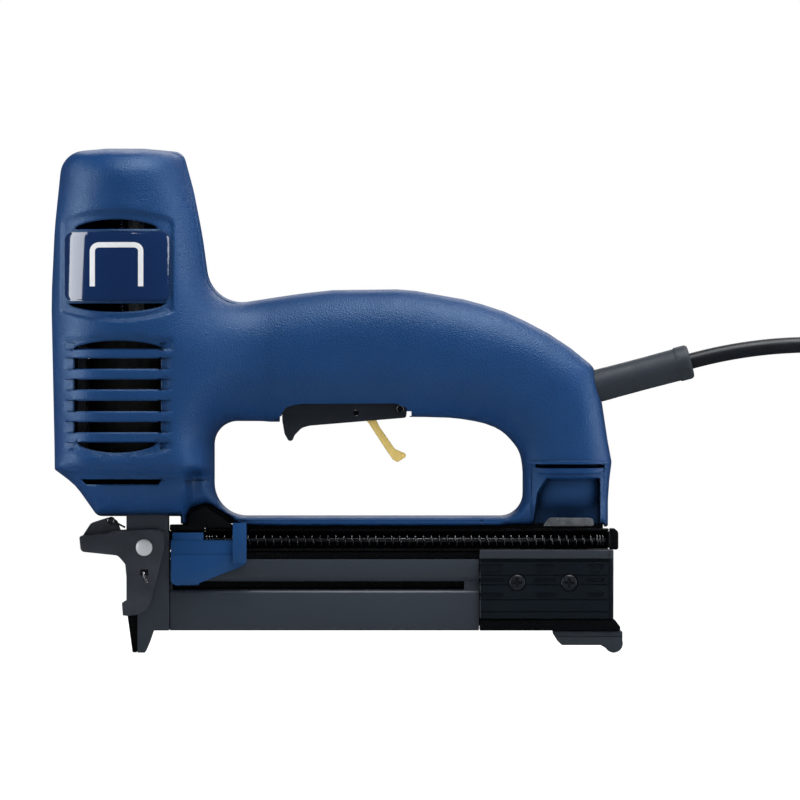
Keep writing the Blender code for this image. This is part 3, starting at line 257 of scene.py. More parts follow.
for cad_name, ob in frame["nodes"].items():
    ob.data.materials.clear()
    ob.data.materials.append(MAT[SLOT_OF[cad_name]])


# ---------------------------------------------------------------- mesh helpers
def mesh_from(bm, name):
    bmesh.ops.recalc_face_normals(bm, faces=bm.faces[:])
    data = bpy.data.meshes.new(name)
    bm.to_mesh(data)
    bm.free()
    return data


def piece(name, source, node=None, body=None, mat=None, edge=0.0, segments=2, cuts=(), joins=(), soft=0.0,
          smooth=35, subdivide=0, also=(), limit=40):
    """Makes one shown piece from a bmesh or a curve and hangs it on its CAD body."""
    data = mesh_from(source, name) if isinstance(source, bmesh.types.BMesh) else source
    ob = bpy.data.objects.new("making_" + name, data)
    bpy.context.scene.collection.objects.link(ob)
    helpers = []

    def bevel(width, count):
        mod = ob.modifiers.new("edge", "BEVEL")
        mod.width, mod.segments, mod.limit_method = width * MM, count, "ANGLE"
        mod.angle_limit = math.radians(limit)
        mod.harden_normals = False

    if edge:
        bevel(edge, segments)
    for kind, bms in (("UNION", joins), ("DIFFERENCE", cuts)):
        for bm in bms:
            helper = bpy.data.objects.new("helper", mesh_from(bm, "helper"))
            bpy.context.scene.collection.objects.link(helper)
            helpers.append(helper)
            mod = ob.modifiers.new(kind.lower(), "BOOLEAN")
            mod.operation, mod.solver, mod.object = kind, "EXACT", helper
    if soft:
        bevel(soft, 2)
    if subdivide:
        mod = ob.modifiers.new("smooth", "SUBSURF")
        mod.levels = mod.render_levels = subdivide
    bpy.context.view_layer.update()
    graph = bpy.context.evaluated_depsgraph_get()
    final = bpy.data.meshes.new_from_object(ob.evaluated_get(graph), depsgraph=graph)
    for o in [ob, *helpers]:
        bpy.data.objects.remove(o)
    final.name = name
    final.materials.clear()
    slot = SLOT_OF.get(node, None)
    final.materials.append(MAT[mat or slot])
    for poly in final.polygons:
        poly.material_index = 0
    final.transform(Matrix.Translation((SHIFT * MM, 0, 0)))
    if smooth:
        final.shade_smooth()
        final.set_sharp_from_angle(angle=math.radians(smooth))
    shown = bpy.data.objects.new(name, final)
    bpy.context.scene.collection.objects.link(shown)
    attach(shown, body or BODY_OF[node])
    names = [n for n in (node, *also) if n]
    if names and not name.startswith("extra_"):
        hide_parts(*names)
    return shown


def rounded(line, step=8, longest=3.0):
    """A closed outline from corners (x, z, radius): arcs at the corners, long edges divided."""
    n, out = len(line), []
    pts = [Vector(p[:2]) for p in line]
    room = [0.5 * (pts[(i + 1) % n] - pts[i]).length for i in range(n)]
    for i, (p, corner) in enumerate(zip(pts, line)):
        a, b = (pts[i - 1] - p).normalized(), (pts[(i + 1) % n] - p).normalized()
        radius = corner[2] if len(corner) > 2 else 0
        turn = math.pi - a.angle(b)
        if radius < 1e-6 or turn < 1e-3:
            out.append(p)
            continue
        reach = min(radius * math.tan(turn / 2), 0.98 * room[i - 1], 0.98 * room[i])
        radius = reach / math.tan(turn / 2)
        centre = p + (a + b).normalized() * radius / math.cos(turn / 2)
        start, count = p + a * reach - centre, max(1, round(math.degrees(turn) / step))
        way = 1 if a.x * b.y - a.y * b.x < 0 else -1
        for k in range(count + 1):
            ang = way * turn * k / count
            out.append(centre + Vector((
                start.x * math.cos(ang) - start.y * math.sin(ang),
                start.x * math.sin(ang) + start.y * math.cos(ang))))
    full = []
    for i, p in enumerate(out):
        q = out[(i + 1) % len(out)]
        parts = max(1, math.ceil((q - p).length / longest))
        full += [p.lerp(q, k / parts) for k in range(parts)]
    return [(p.x, p.y) for p in full]


def prism(outline, y0, y1, bm=None):
    """An outline in the XZ plane pushed from y0 to y1."""
    bm = bm or bmesh.new()
    face = bm.faces.new([bm.verts.new((x * MM, y0 * MM, z * MM)) for x, z in outline])
    side = bmesh.ops.extrude_face_region(bm, geom=[face])
    moved = [v for v in side["geom"] if isinstance(v, bmesh.types.BMVert)]
    bmesh.ops.translate(bm, verts=moved, vec=(0, (y1 - y0) * MM, 0))
    return bm


def profile(outline, x0, x1, bm=None):
    """A cross-section in the YZ plane pushed from x0 to x1."""
    bm = bm or bmesh.new()
    face = bm.faces.new([bm.verts.new((x0 * MM, y * MM, z * MM)) for y, z in outline])
    side = bmesh.ops.extrude_face_region(bm, geom=[face])
    moved = [v for v in side["geom"] if isinstance(v, bmesh.types.BMVert)]
    bmesh.ops.translate(bm, verts=moved, vec=((x1 - x0) * MM, 0, 0))
    return bm


def block(x0, x1, y0, y1, z0, z1, bm=None):
    return prism([(x0, z0), (x1, z0), (x1, z1), (x0, z1)], y0, y1, bm)


def rod(a, b, r, segments=32, bm=None):
    bm = bm or bmesh.new()
    a, b = Vector(a) * MM, Vector(b) * MM
    turn = (b - a).to_track_quat("Z", "Y").to_matrix().to_4x4()
    bmesh.ops.create_cone(
        bm, cap_ends=True, segments=segments, radius1=r * MM, radius2=r * MM,
        depth=(b - a).length, matrix=Matrix.Translation((a + b) / 2) @ turn)
    return bm


def lathe(line, base, axis="Z", steps=48):
    """A closed profile (radius, height) turned about an axis through base."""
    bm = bmesh.new()
    verts = [bm.verts.new((r * MM, 0, h * MM)) for r, h in line]
    pairs = [(i, (i + 1) % len(line)) for i in range(len(line))]
    edges = [bm.edges.new((verts[i], verts[j])) for i, j in pairs if line[i][0] or line[j][0]]
    bmesh.ops.spin(
        bm, geom=verts + edges, cent=(0, 0, 0), axis=(0, 0, 1), angle=2 * math.pi, steps=steps,
        use_merge=True)
    bmesh.ops.remove_doubles(bm, verts=bm.verts[:], dist=1e-6)
    turn = Vector({"X": (1, 0, 0), "Y": (0, 1, 0), "Z": (0, 0, 1)}[axis]).to_track_quat("Z", "Y")
    bmesh.ops.transform(
        bm, verts=bm.verts[:],
        matrix=Matrix.Translation(Vector(base) * MM) @ turn.to_matrix().to_4x4())
    return bm


def wire(points, r, resolution=3):
    """A round wire through points, as curve data."""
    data = bpy.data.curves.new("wire", "CURVE")
    data.dimensions, data.fill_mode, data.use_fill_caps = "3D", "FULL", True
    data.bevel_depth, data.bevel_resolution = r * MM, resolution
    line = data.splines.new("POLY")
    line.points.add(len(points) - 1)
    for spot, p in zip(line.points, points):
        spot.co = (p[0] * MM, p[1] * MM, p[2] * MM, 1)
    return data


def coil_points(start, axis, radius, length, turns, per_turn, closed=1.0):
    axis = Vector(axis).normalized()
    u = axis.orthogonal().normalized()
    v = axis.cross(u)
    count, out = round(turns * per_turn), []
    tight = closed / turns
    for i in range(count + 1):
        t = i / count
        along = min(t, tight) * 0.35 + max(0, min(t, 1 - tight) - tight) + max(0, t - 1 + tight) * 0.35
        along /= 1 - 2 * tight * 0.65
        ang = 2 * math.pi * i / per_turn
        out.append(Vector(start) + axis * length * along
                   + (u * math.cos(ang) + v * math.sin(ang)) * radius)
    return out


def cross(top, depth, a=1.7, b=0.42):
    x, y, z = top
    line = [(a, -b), (a, b), (b, b), (b, a), (-b, a), (-b, b), (-a, b), (-a, -b), (-b, -b), (-b, -a), (b, -a), (b, -b)]
    return prism([(x + p, z + q) for p, q in line], y, y - math.copysign(depth, y))


# ---------------------------------------------------------------- housing
def smooth01(v):
    v = np.clip(v, 0, 1)
    return v * v * (3 - 2 * v)


def edge_distance(x, z, loops):
    best = np.full(x.shape, 1e9)
    inside = np.zeros(x.shape, bool)
    for loop in loops:
        for (ax, az), (bx, bz) in zip(loop, loop[1:] + loop[:1]):
            dx, dz = bx - ax, bz - az
            t = np.clip(((x - ax) * dx + (z - az) * dz) / (dx * dx + dz * dz + 1e-12), 0, 1)
            best = np.minimum(best, np.hypot(x - ax - t * dx, z - az - t * dz))
            if az != bz:
                crossing = (az > z) != (bz > z)
                inside ^= crossing & (x < ax + (z - az) * dx / dz)
    return np.where(inside, best, -best)


def half_width(x, z):
    head = HEAD_HALF - 2.5 * smooth01((z - 165) / 60)
    neck = smooth01((x - 14) / 44)
    rear = HANDLE_HALF + (LEG_HALF - HANDLE_HALF) * smooth01((x - 150) / 40)
    w = head + (rear - head) * neck
    chin = 31.5 - 2.5 * smooth01((76 - z) / 16)
    chin = chin + (17 - chin) * smooth01((x - 20) / 5)
    w = w + (np.minimum(w, chin) - w) * smooth01((82 - z) / 5)
    bar = smooth01((64.5 - z) / 3) * smooth01((x - 37) / 6) * smooth01((167 - x) / 8)
    return w + (BAR_HALF - w) * bar


def rounding(x, z):
    low = smooth01((96 - z) / 16) * smooth01((34 - x) / 8)
    barrel = smooth01((z - 110) / 35) * smooth01((44 - x) / 30)
    r = 24 + 11 * barrel - 6 * smooth01((x - 150) / 25) - 14.5 * low
    bar = smooth01((64.5 - z) / 3) * smooth01((x - 37) / 6) * smooth01((167 - x) / 8)
    return r + (2.3 - r) * bar


def blurred(a, sigma):
    k = np.arange(-3 * sigma, 3 * sigma + 1)
    g = np.exp(-0.5 * (k / sigma) ** 2)
    g /= g.sum()
    for axis in (0, 1):
        pad = [(0, 0), (0, 0)]
        pad[axis] = (3 * sigma, 3 * sigma)
        b = np.pad(a, pad, mode="edge")
        a = sum(w * np.take(b, range(i, i + a.shape[axis]), axis) for i, w in enumerate(g))
    return a


class Crown:
    """The crowned side of the housing as a height over the mid-plane."""

    def __init__(self, loops, inset=0.0, cell=1.0):
        self.x0, self.z0, self.cell, self.inset = -46.0, 46.0, cell, inset
        x, z = np.meshgrid(np.arange(-46, 217, cell), np.arange(46, 232, cell), indexing="ij")
        d = edge_distance(x, z, loops) - inset
        sides = edge_distance(x, z, [rounded(SIDE_LINE, 30, 12), loops[1]]) - inset
        high = smooth01((z - 192) / 14)
        u = (d + (sides - d) * high) / np.maximum(rounding(x, z) - inset, 1.5)
        q = np.where(u > 0, 1 - np.clip(1 - u, 0, 1) ** 2.2, 2.2 * np.maximum(u, -1.5))
        top = 1 - np.clip(1 - d / 9.0, 0, 1) ** 2.4
        q = q * (1 + (top - 1) * high)
        soft = blurred(q, round(3.5 / cell))
        keep = smooth01((d - 1.0) / 6)
        self.q = q * (1 - keep) + soft * keep

    def at(self, x, z):
        x, z = np.asarray(x, float), np.asarray(z, float)
        i, j = (x - self.x0) / self.cell, (z - self.z0) / self.cell
        i0 = np.clip(i.astype(int), 0, self.q.shape[0] - 2)
        j0 = np.clip(j.astype(int), 0, self.q.shape[1] - 2)
        s, t, q = i - i0, j - j0, self.q
        value = (q[i0, j0] * (1 - s) * (1 - t) + q[i0 + 1, j0] * s * (1 - t)
                 + q[i0, j0 + 1] * (1 - s) * t + q[i0 + 1, j0 + 1] * s * t)
        return (half_width(x, z) - self.inset) * np.clip(value, 0, 1) ** (1 / 2.2)


def arch(x0, x1, z0, rise, count=24):
    top = [(x1 + (x0 - x1) * k / count, z0 + rise * math.sin(math.pi * k / count) ** 0.55)
           for k in range(1, count)]
    return split([(x0, z0), (x1, z0)], False) + top


def split(line, closed=True, longest=2.0):
    """The same line with its long edges divided."""
    out = []
    ends = line[1:] + line[:1] if closed else line[1:]
    for p, q in zip(line, ends):
        parts = max(1, math.ceil(math.dist(p, q) / longest))
        out += [(p[0] + (q[0] - p[0]) * k / parts, p[1] + (q[1] - p[1]) * k / parts) for k in range(parts)]
    return out if closed else out + [line[-1]]


VENTS = [(124.5, 129.1), (115.5, 119.9), (106.0, 110.6), (96.8, 101.3)]


FAR_VENTS = [(129.3, 133.1), (120.2, 124.2), (110.9, 115.2), (101.6, 105.7), (92.5, 96.5)]


def slot_loops(side):
    loops = [split([(-27, z0), (11, z0), (11, z1), (-27, z1)]) for z0, z1 in (VENTS if side < 0 else FAR_VENTS)]
    if side < 0:
        loops += [arch(-27.3, 9.7, 185.5, 4.3), arch(-29.9, 12.8, 153.1, -3.8), arch(-27, 11.2, 133.3, 3.5),
                  arch(-25.5, 9, 92.2, -4.3), split([(-21.8, 74), (9.7, 74), (11.5, 76.3), (-24.3, 76.3)])]
    return loops


def band(v, lo, hi, soft):
    """1 between lo and hi, fading to 0 over soft outside them."""
    return smooth01((v - lo) / soft + 1) * smooth01((hi - v) / soft + 1)


def pocket_rows(side):
    return VENTS + [(133.3, 135.8), (89.7, 92.2)] if side < 0 else FAR_VENTS


def drop_at(x, z, rim, slot, side):
    """How far the outer skin is sunk below the plain crown at each point."""
    across = smooth01((x + 33.9) / 2.2) * smooth01((17.0 - x) / 2.2)
    bow = 4 * np.clip(1 - ((x + 8.6) / 24) ** 2, 0, 1)
    drop = 1.6 * across * smooth01((191.3 + bow - z) / 4.0) * smooth01((z - 148.5 + bow) / 2)
    for z0, z1 in pocket_rows(side):
        fade = smooth01((x + 32.6) / 5.0) * smooth01((17.1 - x) / 5.6)
        for x0, x1 in ((-32.4, -27), (11, 16.9)):
            drop = np.maximum(drop, 1.8 * fade * band(x, x0, x1, 0.6) * band(z, z0, z1, 0.4))
    if side < 0:
        drop = crescent_lips(x, z, drop)
    drop = drop + 0.45 * (1 - smooth01((-slot) / 0.7)) * (slot > -0.7)
    return drop + small_features(x, z, rim)


def crescent_lips(x, z, drop):
    lip = 3.5 + 1.7 * np.clip(1 - ((x + 7.8) / 22) ** 2, 0, 1)
    drop = np.maximum(drop, 1.0 * band(x, -31, 15.4, 1.2) * band(z, 133.3, 133.3 + lip, 0.6))
    return np.maximum(drop, 1.0 * band(x, -30, 14, 1.2) * band(z, 92.2 - lip, 92.2, 0.6))


def small_features(x, z, rim):
    # seam line down the back of the head
    seam = band(rim, 1.15, 1.45, 0.25) * smooth01((x - 14) / 3) * smooth01((z - 150) / 4) * smooth01((45 - x) / 4)
    drop = 0.9 * seam
    # raised pad and joint line on the front leg of the guard
    pad = band(x, 29.3, 32.8, 2.6) * band(z, 71.5, 87.5, 3.5)
    drop = drop - 0.5 * pad * smooth01((rim - 0.4) / 1.2)
    drop = drop + 0.6 * band(z, 75.75, 76.05, 0.2) * band(x, 22.5, 34.5, 0.6) * smooth01((rim - 0.1) / 0.3)
    # panel joint in the lower bar
    drop = drop + 0.5 * band(x, 151.1, 151.4, 0.2) * smooth01((64 - z) / 1.0)
    # rear leg: ledge, dark gap, ridge, cavity and its borders
    drop = drop - 0.5 * band(z, 82.8, 84.0, 0.3) * band(x, 171.2, 207.0, 0.6)
    drop = drop + 3.0 * band(z, 81.5, 82.4, 0.25) * band(x, 175.6, 204.2, 0.8)
    below = smooth01((82.2 - z) / 0.5)
    drop = drop + 0.9 * below * band(x, 173.0, 204.8, 0.4)
    drop = drop - 0.7 * band(z, 78.9, 80.9, 0.5) * band(x, 176.5, 203.6, 1.0)
    left = 173.4 + 0.13 * (z - 55) + 0.9 * np.clip(z - 70, 0, 9) ** 1.25 / 3
    cavity = smooth01((x - left) / 1.0) * smooth01((203.2 - x) / 0.8) * smooth01((77.0 - z) / 1.2)
    drop = drop + (4.2 + 3.2 * smooth01((73 - z) / 14)) * cavity
    drop = drop + 0.5 * band(z, 57.4, 57.7, 0.2) * smooth01((x - 204) / 0.6)
    return drop


def feature_lines(side):
    """Lines that the skin's points follow, so that small steps stay crisp."""
    lines = []
    for z0, z1 in pocket_rows(side):
        for x0, x1 in ((-32.4, -27), (11, 16.9)):
            lines.append(([(x0, z0), (x1, z0), (x1, z1), (x0, z1)], (-0.25, 0.1, 0.45, 0.8), True))
    scoop = [(-33.4, 150), (-33.4, 190)] + [(-33.4 + 50 * t, 190.5 + 4 * max(0, 1 - ((-33.4 + 50 * t + 8.6) / 24) ** 2))
                                            for t in np.linspace(0, 1, 20)] + [(16.6, 190), (16.6, 150)]
    lines.append((scoop, (-2.2, -1.4, -0.7, 0.0, 0.4), False))
    low = [(-33.4 + 50 * t, 148.5 - 4 * max(0, 1 - ((-33.4 + 50 * t + 8.6) / 24) ** 2)) for t in np.linspace(0, 1, 20)]
    lines.append((low, (-0.4, 0.3, 0.9, 1.5, 2.1), False))
    lines.append(([(27.5, 68), (33.6, 68), (33.6, 91), (27.5, 91)], (0.0, 0.5, 1.0, 1.6), True))
    lines.append(([(22.5, 75.9), (34, 75.9)], (-0.35, -0.15, 0.15, 0.35), False))
    lines.append(([(151.25, 55.8), (151.25, 59.6)], (-0.35, -0.15, 0.15, 0.35), False))
    for z, offs in ((82.3, (-1.1, -0.8, -0.1, 0.1, 0.5, 0.8, 1.7, 2.0)), (80, (-1.6, -1.1, 0.9, 1.4))):
        lines.append(([(171, z), (206.5, z)], offs, False))
    lines.append(([(172.8, 56), (172.8, 82)], (-0.4, 0.0, 0.4), False))
    lines.append(([(205, 56), (205, 82)], (-0.4, 0.0, 0.4), False))
    wall = [(173.4 + 0.13 * (z - 55) + 0.3 * max(0, z - 70) ** 1.25, z) for z in np.linspace(56, 76.5, 16)]
    lines.append((wall, (-1.2, -0.6, 0.0, 0.3), False))
    lines.append(([(203, 56), (203, 76)], (-0.3, 0.1, 0.5, 0.9), False))
    lines.append(([(178, 77), (203, 77)], (-1.3, -0.8, -0.3, 0.1), False))
    return lines


def offset_rows(line, closed, offsets, spacing):
    """Points beside a line at each offset, evenly spaced."""
    pts = split(line, closed, spacing)
    rows = []
    n = len(pts)
    for off in offsets:
        row = []
        for i, (bx, bz) in enumerate(pts):
            a = pts[i - 1] if i or closed else pts[i]
            c = pts[(i + 1) % n] if i + 1 < n or closed else pts[i]
            dx, dz = c[0] - a[0], c[1] - a[1]
            size = math.hypot(dx, dz) or 1
            row.append((bx - off * dz / size, bz + off * dx / size))
        rows.append(row)
    return rows


def spread(loops, slots, pitch, rings, slot_rings, lines, spacing):
    """Points over the side: along the edges, along the features, and a triangular grid between."""
    pts = []

    def keep(row, rim, slot_gap):
        a = np.array(row)
        good = edge_distance(a[:, 0], a[:, 1], loops) > rim
        good &= edge_distance(a[:, 0], a[:, 1], slots) < -slot_gap
        pts.extend([p for p, g in zip(row, good) if g])

    for loop in loops:
        for ring in rings:
            for row in offset_rows(loop, True, (ring, -ring), spacing):
                keep(row, 0.97 * ring, 0.3)
    for k, loop in enumerate(slots):
        for ring in slot_rings:
            for row in offset_rows(loop, True, (ring, -ring), spacing):
                keep(row, max(rings) if rings else 0.5, 0.95 * ring)
    for line, offsets, closed in lines:
        for row in offset_rows(line, closed, offsets, spacing):
            keep(row, 0.3, 0.2)
    held = np.array(pts)
    rows = int(180 / (0.866 * pitch))
    fill = np.array([(-44 + pitch * (i + 0.5 * (j % 2)), 50 + 0.866 * pitch * j)
                     for j in range(rows) for i in range(int(256 / pitch))])
    good = edge_distance(fill[:, 0], fill[:, 1], loops) > max(rings) + 0.3 * pitch
    good &= edge_distance(fill[:, 0], fill[:, 1], slots) < -0.6 * pitch
    fill = fill[good]
    cell = {}
    for p in held:
        cell.setdefault((int(p[0] // 2), int(p[1] // 2)), []).append(p)
    near = (0.55 * pitch) ** 2
    for p in fill:
        i, j = int(p[0] // 2), int(p[1] // 2)
        close = any((q[0] - p[0]) ** 2 + (q[1] - p[1]) ** 2 < near
                    for a in (-1, 0, 1) for b in (-1, 0, 1) for q in cell.get((i + a, j + b), ()))
        if not close:
            pts.append((float(p[0]), float(p[1])))
    seen, out = set(), []
    for p in pts:
        key = (round(p[0] / 0.12), round(p[1] / 0.12))
        if key not in seen:
            seen.add(key)
            out.append(p)
    return out


def layer(loops, slots, extra):
    """A flat triangulation between the loops, less the slots."""
    verts, edges, owner = [], [], []
    for k, loop in enumerate(loops + slots):
        base = len(verts)
        verts += [Vector(p) for p in loop]
        edges += [(base + i, base + (i + 1) % len(loop)) for i in range(len(loop))]
        owner += [(k, i) for i in range(len(loop))]
    verts += [Vector(p) for p in extra]
    out, _, faces, source, _, _ = delaunay_2d_cdt(verts, edges, [], 0, 1e-5)
    place = {}
    for i, s in enumerate(source):
        for k in s:
            if k < len(owner):
                place[i] = owner[k]
    mid = np.array([sum((out[i] for i in f), Vector((0, 0))) / len(f) for f in faces])
    ok = edge_distance(mid[:, 0], mid[:, 1], loops) > 1e-3
    ok &= edge_distance(mid[:, 0], mid[:, 1], slots) < 0
    return out, [f for f, good in zip(faces, ok) if good], place


LOOPS = [rounded(BODY_LINE, 8, 1.3), rounded(GRIP_LINE, 8, 1.3)]
SKIN = Crown(LOOPS, 0.0, 0.5)
INNER = Crown(LOOPS, WALL, 1.0)


def housing_layers(slots, side):
    rings = (0.2, 0.5, 0.9, 1.15, 1.45, 1.75, 2.5, 3.5)
    fine = spread(LOOPS, slots, 1.5, rings, (0.25, 0.6, 1.1), feature_lines(side), 1.25)
    coarse = spread(LOOPS, slots, 6.0, (1.5, 4), (2.0,), [], 3.0)
    return [layer(LOOPS, slots, fine), layer(LOOPS, slots, coarse)]


def housing_half(side):
    slots = slot_loops(side)
    bm, walls = bmesh.new(), {}
    for which, (out, faces, place) in enumerate(housing_layers(slots, side)):
        x, z = np.array([p.x for p in out]), np.array([p.y for p in out])
        rim = edge_distance(x, z, LOOPS)
        slot = edge_distance(x, z, slots)
        if which == 0:
            sunk = drop_at(x, z, rim, slot, side)
            keep = 4.6 * smooth01((rim - 0.9) / 0.6) * smooth01((x - 168) / 3) * smooth01((70 - z) / 4)
            height = np.maximum(SKIN.at(x, z) - sunk, 0.4 + keep)
        else:
            sunk = drop_at(x, z, rim, np.full(x.shape, -9.0), side)
            height = np.maximum(INNER.at(x, z) - np.maximum(sunk, 0), 0)
        made = {}
        for i in {i for f in faces for i in f}:
            border = i in place and place[i][0] < len(LOOPS)
            y = side * (GAP / 2 + ((0, 0.4)[which == 0] if border else height[i]))
            made[i] = bm.verts.new((x[i] * MM, y * MM, z[i] * MM))
            if i in place:
                walls[(place[i], which)] = made[i]
        for f in faces:
            bm.faces.new([made[i] for i in f])
    for k, loop in enumerate(LOOPS + slots):
        for i in range(len(loop)):
            j = (i + 1) % len(loop)
            bm.faces.new([walls[((k, i), 0)], walls[((k, j), 0)], walls[((k, j), 1)], walls[((k, i), 1)]])
    return bm


def cord_at(s):
    return (203 + s * math.cos(CORD_ANGLE), 0, 117.3 + s * math.sin(CORD_ANGLE))


def build_housing():
    for name, side in (("housing_left", -1), ("housing_right", 1)):
        far = side > 0
        bosses, holes, seats = bmesh.new(), bmesh.new(), bmesh.new()
        for x, z in SCREW_SPOTS:
            turn, reach = np.linspace(0, 2 * math.pi, 12), 4.6 if far else 3.4
            deep = float(INNER.at(x + reach * np.cos(turn), z + reach * np.sin(turn)).min())
            deep = max(deep, float(INNER.at(x, z)) - 2.4)
            top = float(SKIN.at(x, z))
            rod((x, side * GAP / 2, z), (x, side * (deep + 0.8), z), 4.6 if far else 3.4, 24, bosses)
            rod((x, -side, z), (x, side * (top - (2 if far else 5)), z), 1.7, 24, holes)
            rod((x, top - 4, z), (x, 45, z), 3.9, 40, seats)
        cuts = [holes] + ([seats] if far else []) + [
            block(-5.2, 14, -12.4, 12.4, 50, 70), prism(rounded(NOTCH_LINE, 10, 99), -40, 40),
            block(62.4, 119.5, -9.6, 9.6, 95, 122), block(60.4, 120.3, -9.7, 9.7, 103.9, 121.8),
            prism(BRACKET_POCKET, -5.5, 5.5), block(46.5, 205, -5.4, 5.4, 54, 56.6),
            block(166, 204.8, -4.4, 4.4, 55, 61.4), rod(cord_at(-14), cord_at(8), 7.6, 48),
            rod(cord_at(-9.5), cord_at(-4), 9.2, 48)]
        piece("housing_shell_" + name[8:], housing_half(side), name, joins=[bosses], cuts=cuts, smooth=42)
    for i, (x, z) in enumerate(SCREW_SPOTS):
        seat = float(SKIN.at(x, z)) - 4
        tip = -min(9, float(SKIN.at(x, z)) - 6)
        line = [(0, 2.5), (1.2, 2.45), (2.2, 2.2), (3.0, 1.7), (3.45, 1.0), (3.5, 0.1), (1.4, 0.1), (1.4, tip - seat),
                (0, tip - seat)]
        piece(f"shell_screw_{i + 1}", lathe(line, (x, seat, z), "Y", 40), f"housing_screw_{i + 1}",
              cuts=[cross((x, seat + 2.7, z), 1.4)])


def badge_loop(grow=0.0):
    x0, x1, z0, z1 = -31.4 - grow, 14.6 + grow, 154.2 - grow, 184.2 + grow
    return rounded([(x0, z0, 3.4), (x1, z0, 3.4), (x1, z1, 3.4), (x0, z1, 3.4)], 8, 1.0)


def skin_plate(loop, side, lifts, pitch, dome=0.0):
    """A thin plate that follows the crowned side between two lifts over it."""
    a = np.array(loop)
    lo, hi = a.min(0), a.max(0)
    grid = [(x, z) for x in np.arange(lo[0], hi[0], pitch) for z in np.arange(lo[1], hi[1], pitch)]
    for off in (0.25, 0.6, 1.1):
        grid += [p for row in offset_rows(loop, True, (off, -off), 1.0) for p in row]
    g = np.array(grid)
    far = edge_distance(g[:, 0], g[:, 1], [loop])
    grid = [p for p, d in zip(grid, far) if d > 0.2]
    out, faces, place = layer([loop], [], grid) if grid else ([], [], {})
    x, z = np.array([p.x for p in out]), np.array([p.y for p in out])
    inward = edge_distance(x, z, [loop])
    bm, rows = bmesh.new(), []
    for lift, top in zip(lifts, (True, False)):
        y = SKIN.at(x, z) + lift - (dome * (1 - smooth01(inward / 1.2)) if top else 0)
        rows.append([bm.verts.new((p.x * MM, side * v * MM, p.y * MM)) for p, v in zip(out, y)])
    used = {i for f in faces for i in f}
    for f in faces:
        bm.faces.new([rows[0][i] for i in f])
        bm.faces.new([rows[1][i] for i in reversed(f)])
    spots = {spot[1]: i for i, spot in place.items()}
    for i in range(len(loop)):
        p, q = spots[i], spots[(i + 1) % len(loop)]
        bm.faces.new([rows[0][p], rows[0][q], rows[1][q], rows[1][p]])
    loose = [row[i] for row in rows for i in range(len(row)) if i not in used]
    bmesh.ops.delete(bm, geom=loose, context="VERTS")
    return bm


def stroke(points, half):
    """The outline of a band that runs along points."""
    rows = offset_rows(points, False, (half, -half), 1.2)
    return rows[0] + rows[1][::-1]


def build_badges():
    for name, side in (("badge_left", -1), ("badge_right", 1)):
        piece("glossy_" + name, skin_plate(badge_loop(), side, (0.1, -1.1), 1.2, 0.35), name, smooth=50)
        staple = [(-19, 160.5), (-19, 176)] + [(-16 - 3 * math.cos(a), 176 + 2.6 * math.sin(a))
                                               for a in np.linspace(0.35, math.pi / 2, 5)]
        right = [(-16.8 - x, z) for x, z in reversed(staple)]
        mark = stroke(staple + right, 1.15)
        piece("extra_mark_" + name, skin_plate(mark, side, (0.17, -0.4), 1.0, 0.04), node=name, mat="badge_mark",
              smooth=50)


# ---------------------------------------------------------------- cord
def along_cord(bm):
    x, y, z = cord_at(0)
    turn = Matrix.Rotation(math.pi / 2 - CORD_ANGLE, 4, "Y")
    bmesh.ops.transform(bm, verts=bm.verts[:], matrix=Matrix.Translation((x * MM, y, z * MM)) @ turn)
    return bm


def cord_points(fine=1):
    pts = [cord_at(-21), cord_at(0), cord_at(43)]
    x, z, ang = pts[-1][0], pts[-1][2], CORD_ANGLE
    for length, bend, count in ((48, -0.235, 8), (56, -1.596, 10), (53.2, 0, 1), (49, 1.57, 10), (11, 0, 1)):
        steps = count * fine if count > 1 else 1
        for _ in range(steps):
            ang += bend / steps
            x += length / steps * math.cos(ang - bend / steps / 2)
            z += length / steps * math.sin(ang - bend / steps / 2)
            pts.append((x, 0, z))
    return pts


def build_cord():
    path = cord_points(4)
    piece("mains_cord", wire(path, CORD_R, 6), "power_cord", mat="cord_pvc")
    sleeve = [(3.8, -9), (8.8, -9), (8.8, -4.5), (7.2, -4.2), (7.2, 2), (7.1, 8), (7.05, 20), (7.15, 34),
              (7.2, 35.2), (7.55, 35.7), (7.6, 36.4), (7.6, 39.8), (7.45, 40.7), (6.9, 41.4), (6.0, 41.6), (3.8, 41.6)]
    piece("cord_sleeve", along_cord(lathe(sleeve, (0, 0, 0), "Z", 64)), "cord_strain_relief", smooth=30)
    x, _, z = path[-1]
    plan = rounded([(0, -4, 1), (6, -6, 3), (14, -15, 6), (37, -17.6, 2), (40, -14, 3), (40, 14, 3), (37, 17.6, 2),
                    (14, 15, 6), (6, 6, 3), (0, 4, 1)], 10, 4)
    bm = bmesh.new()
    face = bm.faces.new([bm.verts.new(((x + 0.4 + a) * MM, b * MM, (z - 6.85) * MM)) for a, b in plan])
    side = bmesh.ops.extrude_face_region(bm, geom=[face])
    up = [v for v in side["geom"] if isinstance(v, bmesh.types.BMVert)]
    bmesh.ops.translate(bm, verts=up, vec=(0, 0, 13.7 * MM))
    ribs = [block(x + 12 + 4 * k, x + 13.6 + 4 * k, -30, 30, z + 6.1, z + 9) for k in range(5)]
    piece("mains_plug", bm, "cord_plug", edge=1.8, segments=4, cuts=ribs)
    for i, y in enumerate((-9.3, 9.3)):
        pin = [(0, 0), (2, 0), (2, 16.4), (1.7, 17.8), (1, 18.7), (0, 19)]
        piece(f"plug_contact_{i + 1}", lathe(pin, (x + 40.7, y, z), "X", 48), f"plug_pin_{i + 1}", smooth=30)


